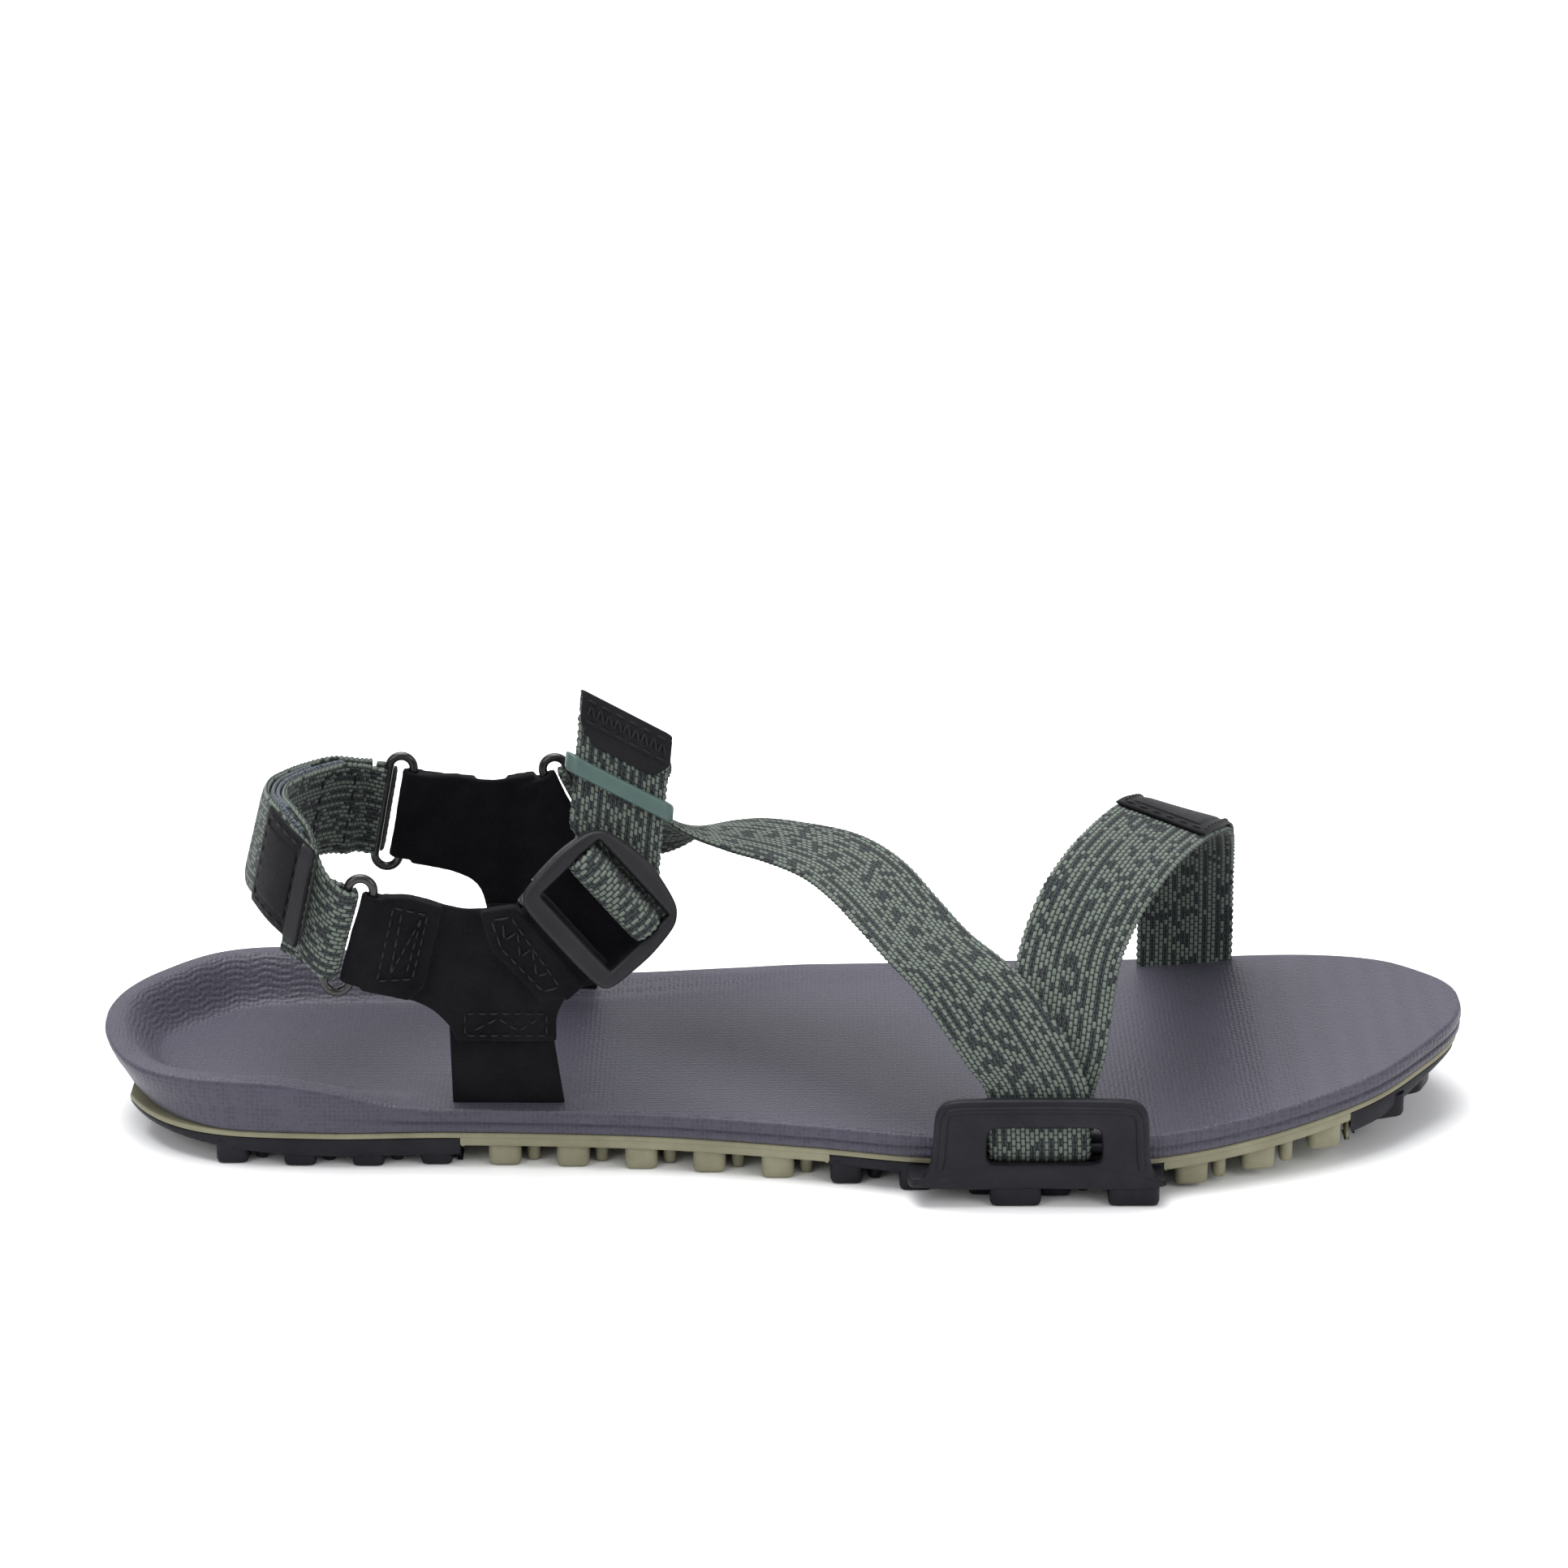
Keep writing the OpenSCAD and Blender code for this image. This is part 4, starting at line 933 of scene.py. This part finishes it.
TAIL_START, TAIL_END = np.array([-33.2, -23.65, 61.2]), np.array([-30.7, -17.65, 86.9])
T_ALONG = unit(TAIL_END - TAIL_START)
T_ACROSS = unit([0.87, 0.05, -0.49])
T_OUT = unit(np.cross(T_ACROSS, T_ALONG))
TAIL_LENGTH = float(np.linalg.norm(TAIL_END - TAIL_START))
KEEPER, KEEPER_HALF = 13.0, 1.8  # the keeper's place along the tail and half its length


def on_tail(across, out, along):
    return TAIL_START + across * T_ACROSS + out * T_OUT + along * T_ALONG


def rings():
    """The three wire rings: two straight sides and two half circles each."""
    for name, (axis, ahead, centre) in RINGS.items():
        loop = []
        for end in (1, -1):
            half = end * RING_STRAIGHT / 2 * axis
            loop += [centre + half + end * RING_GAP * (math.cos(a) * ahead + math.sin(a) * axis)
                     for a in np.linspace(0, math.pi, 22)]
            loop += [centre - end * ahead * RING_GAP + s * half for s in np.linspace(0.85, -0.85, 8)]
        made = build(name, *rod_parts(loop, WIRE, closed=True, sides=24), black_wire)
        place(made, "sandal", "black_wire", name)


def buckle():
    """The buckle's frame, thicker above its lower band, with its middle bar and the yoke's bar."""
    corners = [(-11.6, -12.1), (11.6, -12.1), (13.2, -9.5), (13.9, 0), (12.9, 7.6), (10.2, 10.6), (0, 12.5),
               (-10.2, 10.6), (-12.9, 7.6), (-13.9, 0), (-13.2, -9.5)]
    hole = [(-10.2, -8), (10.2, -8), (10.4, -7.6), (10.4, 0), (10.4, 7.7), (10.1, 8), (0, 8),
            (-10.1, 8), (-10.4, 7.7), (-10.4, 0), (-10.4, -7.6)]
    edge = 0.9
    outer, inner = matched(corners, 8), matched(hole, 8)
    above = open_run(np.array([[k, 0] for k in range(len(outer)) if outer[k, 1] > -7.5]))[:, 0]
    parts = [frame_parts(outer, inner, -0.3, 2.0, edge, on_buckle),
             band_parts(outer[above], inner[above], -1.8, 1.9, edge, on_buckle),
             rod_parts([on_buckle(s, MIDDLE_BAR, 0) for s in np.linspace(-11, 11, 6)], BAR, first=B_OUT)]
    tab_bar = [on_buckle(s, TAB_BAR, TAB_DEPTH) for s in np.linspace(-11.6, 11.6, 6)]
    parts.append(rod_parts(tab_bar, BAR, first=B_OUT))
    for end in (-11, 11):
        post = [on_buckle(end, TAB_BAR, s) for s in np.linspace(TAB_DEPTH, 0.5, 5)]
        parts.append(rod_parts(post, 0.9, first=B_ALONG))
    place(build("buckle", *joined(parts), black_plastic), "buckle", "black_plastic", "buckle")


def keeper():
    """The rubber loop round both layers of webbing."""
    wide, tall, wall = STRAP + 1.3, 2 * WEBBING + 0.8, 1.3
    inner = matched(rounded(wide, tall, 1.4), 3)
    outer = matched(rounded(wide + 2 * wall, tall + 2 * wall, 2.9), 3)
    parts = frame_parts(outer, inner, KEEPER - KEEPER_HALF, KEEPER + KEEPER_HALF, 0.6,
                        lambda across, out, along: on_tail(across, out - LAYER / 2, along))
    place(build("keeper_loop", *parts, sage_rubber), "keeper", "sage_rubber", "keeper_loop")


# ---- webbing -----------------------------------------------------------------------

# Stations of each strap, from its hidden start to its end
FOREFOOT = square_on([
    at((50.3, -47.15, 12.6), (-1, 0, 0)), at((50.3, -47.15, 16), (-1, 0, 0)),
    at((50.3, -47.0, 21), (-1, 0, 0.04)),
    at((52.6, -45, 29.3), (-0.99, 0, 0.13)), at((53.8, -40.6, 36.3), (-0.99, 0.08, 0.12)),
    at((55.8, -35, 45), (-0.99, 0.2, 0.08)), at((58.8, -30.3, 51.2), (-1, 0.02, 0.05)),
    at((63.4, -22.5, 56.0), (-0.98, -0.02, 0.1)), at((68.7, -12.5, 58.6), (-0.97, 0.08, 0.16)),
    at((74.7, -0.5, 59.2), (-0.95, 0.2, 0.24)), at((79.3, 13.5, 56), (-0.95, 0.16, 0.26)),
    at((81.8, 25.6, 50.8), (-0.96, 0, 0.25)), at((83, 35, 43.3), (-0.97, -0.06, 0.22)),
    at((83.7, 42, 31.5), (-0.99, -0.05, 0.08)), at((84.1, 45, 20), (-1, 0, 0)),
    at((84.1, 45.1, 12.8), (-1, 0, 0)), at((84.1, 45.1, 10.3), (-1, 0, -0.04)),
    at((84.1, 44.2, 8.95), (-1, 0, -0.08)), at((84.1, 42.4, 8.67), (-1, 0, -0.08))])

RIGHT, BACK, UP = np.eye(3)


def strap_side(ring):
    """The direction of a ring's long sides, the direction to its yoke, and the middle of the far side."""
    axis, ahead, centre = RINGS[ring]
    return axis, ahead, centre - RING_GAP * ahead


INSTEP_AXIS, INSTEP_AHEAD, INSTEP_BAR = strap_side("medial_instep_ring")
INSTEP = [
    at((49.6, -47.15, 12.2), RIGHT), *turn(WING_BAR, RIGHT, BACK, -UP, 1.1 + WEBBING / 2, 0, 180, STRAP),
    at((49.4, -50.85, 14), RIGHT), at((49, -50.8, 22), (1, 0, 0.02)), at((45.2, -49, 28.8), (0.97, 0, 0.24)),
    at((40.8, -45.5, 34.9), (0.95, 0.1, 0.28)), at((34.9, -40, 41.2), (0.92, 0.22, 0.13)),
    at((28.1, -32.5, 45.2), (0.86, 0.5, 0.05)), at((22.5, -24, 48.8), (0.81, 0.58, 0.08)),
    at((16.7, -14.5, 52.2), (0.74, 0.65, 0.15)), at((9.4, -3.5, 53.6), (0.62, 0.77, 0.15)),
    at((0.6, 5.5, 53.3), (0.48, 0.87, 0.08)), at((-9, 13.5, 52.3), (0.32, 0.94, -0.02)),
    at((-18, 20, 51), (0.3, 0.9, -0.3)), at((-25.5, 24.2, 50.8), (0.36, 0.55, -0.7)),
    at((-31.6, 27.4, 52.2), (0.42, 0.04, -0.87), 19.4), at((-37.2, 30.1, 53.9), INSTEP_AXIS, FOLD),
    at((-39.2, 30.22, 53), INSTEP_AXIS, FOLD)]

ANKLE = [
    *turn(INSTEP_BAR, INSTEP_AXIS, -BACK, INSTEP_AHEAD, WRAP_ON_WIRE, 20, 180, FOLD, 5),
    at(INSTEP_BAR + [1.4, WRAP_ON_WIRE, 0.7], INSTEP_AXIS, FOLD), at((-37.6, 34.6, 54.3), INSTEP_AXIS, FOLD),
    at((-33.6, 33.6, 58.2), (0.6, 0.1, -0.79), 19.4), at((-31.3, 28, 65), (0.77, 0.15, -0.62)),
    at((-31.8, 18, 71), (0.86, 0, -0.47)), at((-32, 8.2, 74.4), (0.9, 0, -0.42)),
    at((-31.2, -3.5, 77.7), (0.89, 0.06, -0.44), 19.2),
    at((-31, -10.5, 79.4), (0.87, 0.1, -0.47), 18.2), at((-31.1, -14.8, 79.4), (0.87, 0.08, -0.48), 17.4),
    at(on_tail(0.6, -LAYER - 0.6, 18.2), T_ACROSS, 17.4),
    at(on_tail(0, -LAYER - 0.05, 16.4), T_ACROSS, 18.8),
    *[at(on_tail(0, -LAYER - 0.05, d), T_ACROSS, 19.6) for d in (12, 7, 2.5)],
    at(on_buckle(-3, 6.6, -4.7), (0.72, 0.02, -0.69)), at(on_buckle(-0.4, 3.2, -4.3), B_ALONG, 19.6),
    at(on_buckle(0, 1.1, -3), B_ALONG, 19.6),
    *turn(on_buckle(0, MIDDLE_BAR, 0), B_ALONG, -B_UP, B_OUT, BAR + 0.15 + WEBBING / 2, -5, 150, IN_BUCKLE),
    at(on_buckle(0.1, 6.2, -0.8), B_ALONG, IN_BUCKLE),
    at(on_buckle(0.8, 6.9, -2.9), (0.68, 0.01, -0.73), IN_BUCKLE + 0.6),
    at(on_tail(0, 0, 1.5), T_ACROSS), at(on_tail(0, 0, 3.5), T_ACROSS)]

HEEL = [
    edge_pair((-90, -33, 65.4), (-94.4, -33, 45.4)), edge_pair((-94.2, -30.4, 68.7), (-99, -30.2, 49.2)),
    edge_pair((-98.5, -23.5, 71.2), (-103, -23.5, 51.5)), edge_pair((-101.3, -14, 70.7), (-105.9, -14, 51)),
    edge_pair((-101.8, -2, 69.4), (-106.8, -2, 49.9)), edge_pair((-100.2, 8, 67.7), (-105, 8, 48)),
    edge_pair((-96.6, 17.5, 66.2), (-101, 17.5, 46.6)), edge_pair((-91, 26, 64.9), (-95.1, 26, 45)),
    edge_pair((-86.4, 31, 62.6), (-90.4, 31, 43))]
PILE = 0.9  # thickness of the hooks and of the loops
PILE_LIFT = LAYER / 2 + 0.05 + PILE / 2  # from a layer's middle to the middle of its pile
INNER_LIFT = WEBBING + 2 * PILE + 0.3  # from the flap's middle to the inner layer's middle


def heel_paths():
    """The outer and the inner layer of the heel strap."""
    fine = curve(HEEL, 4)
    out_axis, out_ahead, out_bar = strap_side("lateral_heel_ring")
    in_axis, in_ahead, in_bar = strap_side("medial_heel_ring")
    flap = [*fine, at(in_bar + [-3.6, 1.9, 0.8], in_axis, 19.2),
            *turn(in_bar, in_axis, BACK, in_ahead, WRAP_ON_WIRE, 0, 50, FOLD, 2)]
    start = [at(out_bar + [-9, 7, 2.6], out_axis, FOLD), at(out_bar + [-4, 3.4, 1.1], out_axis, FOLD),
             *turn(out_bar, out_axis, BACK, out_ahead, WRAP_ON_WIRE, 0, 180, FOLD),
             at(out_bar + [-3.2, -0.4, 2.2], (0.25, 0, 0.968), 19.2)]
    middle, across, _ = strap_frame(fine, INNER_LIFT)
    inner = [at(middle[i], across[i], fine[i, 6]) for i in range(5, len(fine) - 2)]
    end = [at(in_bar + [-3.6, -1.9, 0.8], in_axis, 19), at(in_bar + [-0.2, -WRAP_ON_WIRE, 0], in_axis, FOLD)]
    return flap, start + inner + end


def webbing(name, stations, body, shift):
    place(ribbon(name, stations, green_webbing, shift=shift), body, "green_webbing", name)


def bending(made, bodies, ends, slot, *nodes):
    """Bakes a piece's place into its mesh and hides the CAD nodes it stands for; bodies, ends and slot are
    not used.
    """
    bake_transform(made)
    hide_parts(*nodes)


def straps():
    webbing("forefoot_strap", FOREFOOT, "sandal", 3.0)
    webbing("instep_strap", INSTEP, "sandal", 40.0)
    flap, inner = heel_paths()
    webbing("heel_strap", inner, "sandal", 90.0)
    webbing("heel_flap", flap, "heel_flap", 150.0)
    ankle = ribbon("ankle_strap", ANKLE, green_webbing, shift=210.0)
    bending(ankle, ("sandal", "buckle"), ((-33, 12, 74), (-31.6, -15, 80.6)),
            "green_webbing", "ankle_strap_medial", "ankle_strap_lateral")
    stations = [at(on_tail(0, 0, d), T_ACROSS) for d in (3.2, 10, 18, TAIL_LENGTH)]
    tail = ribbon("strap_tail", stations, green_webbing, shift=330.0)
    bending(tail, ("buckle", "tail"), (on_tail(0, 0, 4.5), on_tail(0, 0, TAIL_LENGTH - 7)),
            "green_webbing", "strap_tail")
    loops = layer_on("heel_strap_pile", HEEL, 2, 7, loop_pile, PILE, INNER_LIFT - PILE_LIFT)
    place(loops, "sandal", "blue_grey_pile", "heel_strap_pile")
    hooks = layer_on("heel_flap_hooks", HEEL, 1, 6, hook_pile, PILE, PILE_LIFT)
    place(hooks, "heel_flap", "blue_grey_pile", "heel_flap_hooks")


# ---- patches and tabs --------------------------------------------------------------

def line_on(stations, first, last, share, lift):
    """Points along a strap's surface at a share of its half width, and the direction out of it."""
    path, _ = part_of(stations, first, last)
    middle, across, up = strap_frame(path, lift)
    return middle + across * share * path[:, 6:7] / 2, unit(up.mean(0) * np.sign(lift))


def border(stations, first, last, share, lift):
    """Stitches round the edge of a patch on a strap."""
    ends = [line_on(stations, first, last, side * share, lift) for side in (-1, 1)]
    parts = [stitch for line, up in ends for stitch in stitch_parts(line, up)]
    for i in (0, -1):
        parts += stitch_parts([ends[0][0][i], ends[1][0][i]], ends[0][1])
    return parts


def label():
    """The patch on the forefoot strap, with its raised blank panel."""
    lift = LAYER / 2 + 0.55
    patch = layer_on("forefoot_label", FOREFOOT, 9, 12, black_patch, 0.8, lift, 19.6)
    place(patch, "sandal", "black_patch", "forefoot_label")
    panel = layer_on("label_panel", FOREFOOT, 9.25, 11.75, black_patch, 0.6, lift + 0.35, 14.5)
    place(panel, "sandal", "black_patch")
    thread("label_stitches", border(FOREFOOT, 9.1, 11.9, 0.86, lift + 0.4), "sandal")


def pull_tab():
    """The tab on the flap's free end, with its blank panel and the strip along its edge."""
    lift = -LAYER / 2 - 0.5
    patch = layer_on("pull_tab", HEEL, 0, 2, black_patch, 0.9, lift, 20.2)
    place(patch, "heel_flap", "black_patch", "pull_tab")
    panel = layer_on("pull_tab_panel", HEEL, 0.62, 1.78, black_patch, 0.7, lift - 0.3, 14.4)
    place(panel, "heel_flap", "black_patch")
    strip = layer_on("pull_tab_edge", HEEL, 0, 0.46, black_plastic, 2.0, lift - 0.75, 20)
    place(strip, "heel_flap", "black_patch", "pull_tab_edge")
    thread("heel_strap_stitches", border(HEEL, 6.1, 7.3, 0.8, INNER_LIFT + WEBBING / 2), "sandal")
    thread("pull_tab_stitches", border(HEEL, 0.55, 1.86, 0.86, lift - 0.45), "heel_flap")


def tail_tab():
    """The suede folded over the tail's end, with a pointed tongue on each face."""
    face, wall = WEBBING / 2 + 0.1, 0.9
    back, front = face + wall, -face - wall
    half, end = 9.9, 0.8

    def plate(outline_points, low, high, corner):
        points, faces = slab_parts(softened(outline_points, 0.9), low, high, corner, lifted=False)
        return np.array([on_tail(x, z, TAIL_LENGTH + y) for x, y, z in points]), faces

    def tongue(reach):
        side = 3.4 - reach
        return [(-half, end), (-half, side), (-6.6, -reach), (6.6, -reach), (half, side), (half, end)]

    parts = [plate(tongue(8.2), face, back, 0.3), plate(tongue(6), front, -face, 0.3),
             plate([(-10, 0.1), (10, 0.1), (10, 1.3), (-10, 1.3)], front, back, 0.5),
             plate([(-half, end), (-half, -4.8), (half, -4.8), (half, end)], back - 0.1, back + 0.4, 0.3)]
    place(build("tail_end_tab", *joined(parts), black_patch), "tail", "black_suede", "tail_end_tab")
    on_face = back + 0.42
    turns = zigzag(*[on_tail(a, on_face, TAIL_LENGTH - 2.1) for a in (-8.8, 8.8)], T_ALONG * 2.8, 18)
    seam = [stitch for a, b in zip(turns, turns[1:]) for stitch in stitch_parts([a, b], T_OUT, 5, 0.3, 0.3)]
    for down in (0.1, 4.1):
        seam += stitch_parts([on_tail(a, on_face, TAIL_LENGTH - down) for a in (-9.2, 9.2)], T_OUT)
    thread("tail_tab_stitches", seam, "tail")


# ---- suede yokes -------------------------------------------------------------------

def soft(name, material):
    """A CAD node with its edges worn round and its faces slightly uneven."""
    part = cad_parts[name]
    fresh = part.modifiers.new("fine", "REMESH")
    fresh.mode, fresh.voxel_size, fresh.use_smooth_shade = "VOXEL", 0.00035, True
    rounder = part.modifiers.new("round", "SMOOTH")
    rounder.factor, rounder.iterations = 0.5, 6
    cloud = bpy.data.textures.new(name + "_uneven", "CLOUDS")
    cloud.noise_scale = 0.007
    uneven = part.modifiers.new("uneven", "DISPLACE")
    uneven.texture, uneven.texture_coords, uneven.strength, uneven.mid_level = cloud, "LOCAL", 0.0005, 0.5
    part.data.materials.clear()
    part.data.materials.append(material)


def leg(name, outline_points, y):
    """An upright suede leg from its outline in x and z."""
    points, faces = slab_parts(softened(outline_points, 0.8), -0.9, 0.9, 0.5, lifted=False)
    points = np.column_stack([points[:, 0], y + points[:, 2], points[:, 1]])
    place(build(name, points, faces, black_suede), "sandal", "black_suede", name)


YOKE_FACE, FOLD_FACE = 32.15, 33.65  # how far out the yoke's face and its folded arms' faces are

# Seams on the yokes in x and z: (points, how far out, closed)
LATERAL_SEAMS = [
    ([(-75.8, 53.6), (-69.2, 52), (-72.5, 38.8), (-79.4, 38.4)], FOLD_FACE, True),
    ([(-53, 51.6), (-56.8, 51), (-55, 45.2), (-47, 36.2), (-43.8, 37.2)], FOLD_FACE, True),
    ([(-74.2, 52.6), (-76.8, 39.8), (-70.4, 51.4), (-73.6, 40)], FOLD_FACE, False),
    ([(-54.6, 50.6), (-54.4, 46.8), (-51.8, 48.6), (-51.4, 43.4), (-49, 45.2), (-48.2, 39.4), (-45.8, 40.2)],
     FOLD_FACE, False),
    ([(-62.5, 26.4), (-46.5, 26.4), (-46.5, 31), (-62.5, 31)], YOKE_FACE, True),
    ([(-61, 27.4), (-56, 30), (-52, 27.4), (-48, 30)], YOKE_FACE, False)]
MEDIAL_SEAMS = [
    ([(-71.5, 57.2), (-65, 56.4), (-66.9, 39.6), (-75.5, 41.4)], FOLD_FACE, True),
    ([(-52, 57.4), (-55.4, 56.6), (-56.2, 50.4), (-48, 38.6), (-44.8, 39.6)], FOLD_FACE, True),
    ([(-59.5, 26.4), (-40.5, 26.4), (-40.5, 31), (-59.5, 31)], YOKE_FACE, True),
    ([(-58, 27.4), (-52, 30), (-47, 27.4), (-42, 30)], YOKE_FACE, False)]


def seams(seam_list, side):
    """Stitches of the seams on the outer face of a yoke. side is -1 for lateral and 1 for medial."""
    found = []
    for points, out, closed in seam_list:
        line = [(x, side * out, z) for x, z in points + points[:closed]]
        for a, b in zip(line, line[1:]):
            found += stitch_parts([a, b], (0, side, 0), 1.7, 0.5, 0.24)
    return found


def yokes():
    for name in ("lateral_yoke", "medial_yoke"):
        soft(name, black_suede)
    leg("lateral_leg", [(-65.3, 8), (-42.9, 8), (-46.2, 31.5), (-65.8, 31.5)], -29.5)
    leg("medial_leg", [(-61.6, 8), (-38.4, 8), (-40.2, 31.5), (-61.2, 31.5)], 29.5)
    behind = [at((-51, -29.7, 41.4), B_ALONG), at(on_buckle(0, -15, -7.3), B_ALONG)]
    behind += [at(on_buckle(1, up, out), B_ALONG, 23.6)
               for up, out in ((-9.8, -7.5), (-6, -6.5), (-1.2, -6.0), (3.4, -6.4), (7.0, -7.2))]
    backing = ribbon("buckle_backing", behind, black_suede, 1.3, relief=0.0)
    place(backing, "sandal", "black_suede", "buckle_backing")
    thread("lateral_yoke_stitches", seams(LATERAL_SEAMS, -1), "sandal")
    thread("medial_yoke_stitches", seams(MEDIAL_SEAMS, 1), "sandal")


# ---- room --------------------------------------------------------------------------

def floor():
    """A sheet of pale paper that curves up behind the sandal, in metres."""
    material, tree, surface = finish("floor_paper", (0.93, 0.93, 0.935), 0.75)
    grain = noise(place_in_metres(tree), 60.0, 3.0)
    paint(surface, tint(grain, shade((0.92, 0.92, 0.925)), shade((0.95, 0.95, 0.955))))
    depth, bend, wall = 1.6, 0.6, 3.0
    arc = np.radians(range(10, 91, 10))
    rows = [(-1.5, 0), (depth, 0)]
    rows += [(depth + bend * math.sin(a), bend - bend * math.cos(a)) for a in arc] + [(depth + bend, wall)]
    points = [(x, y, z) for y, z in rows for x in (-3, 3)]
    faces = [(2 * i, 2 * i + 1, 2 * i + 3, 2 * i + 2) for i in range(len(rows) - 1)]
    mesh = bpy.data.meshes.new("floor")
    mesh.from_pydata(points, [], faces)
    mesh.polygons.foreach_set("use_smooth", [True] * len(faces))
    made = bpy.data.objects.new("floor", mesh)
    bpy.context.scene.collection.objects.link(made)
    made.data.materials.append(material)


def lamp(name, where, size, power):
    """A square soft lamp that points at the sandal. Places and sizes are metres."""
    light = bpy.data.lights.new(name, "AREA")
    light.shape, light.size, light.energy = "SQUARE", size, power
    made = bpy.data.objects.new(name, light)
    bpy.context.scene.collection.objects.link(made)
    made.location = where
    aim = Vector((0, 0, 0.03))
    made.rotation_euler = (aim - Vector(where)).to_track_quat("-Z", "Y").to_euler()


def room():
    """The floor, one large lamp above, two small ones in front, and an even pale sky."""
    floor()
    lamp("overhead", (-0.25, 0.25, 1.5), 1.4, 40)
    lamp("left_front", (-1.1, -1.2, 0.9), 0.9, 8)
    lamp("right_front", (1.2, -1.0, 0.8), 0.9, 9)
    world = bpy.data.worlds.new("studio")
    bpy.context.scene.world = world
    bpy.context.scene.view_settings.view_transform = "Standard"
    world.use_nodes = True
    sky = world.node_tree.nodes["Background"]
    sky.inputs["Color"].default_value = (0.97, 0.98, 1, 1)
    sky.inputs["Strength"].default_value = 0.52


def camera():
    """The viewpoint: from the outer side, a little above, through a long lens."""
    lens = bpy.data.cameras.new("camera")
    lens.sensor_width, lens.lens, lens.shift_y = 36, 124.6, 0.1687
    made = bpy.data.objects.new("camera", lens)
    bpy.context.scene.collection.objects.link(made)
    rise, away, height = math.radians(21.5), 1.1, 11
    target = Vector((0, 0, (height + GROUND) * MM))
    made.location = target + Vector((0, -math.cos(rise), math.sin(rise))) * away
    made.rotation_euler = (math.pi / 2 - rise, 0, 0)
    bpy.context.scene.camera = made


footbed()
outsole()
rings()
buckle()
keeper()
straps()
label()
pull_tab()
tail_tab()
yokes()
room()
camera()
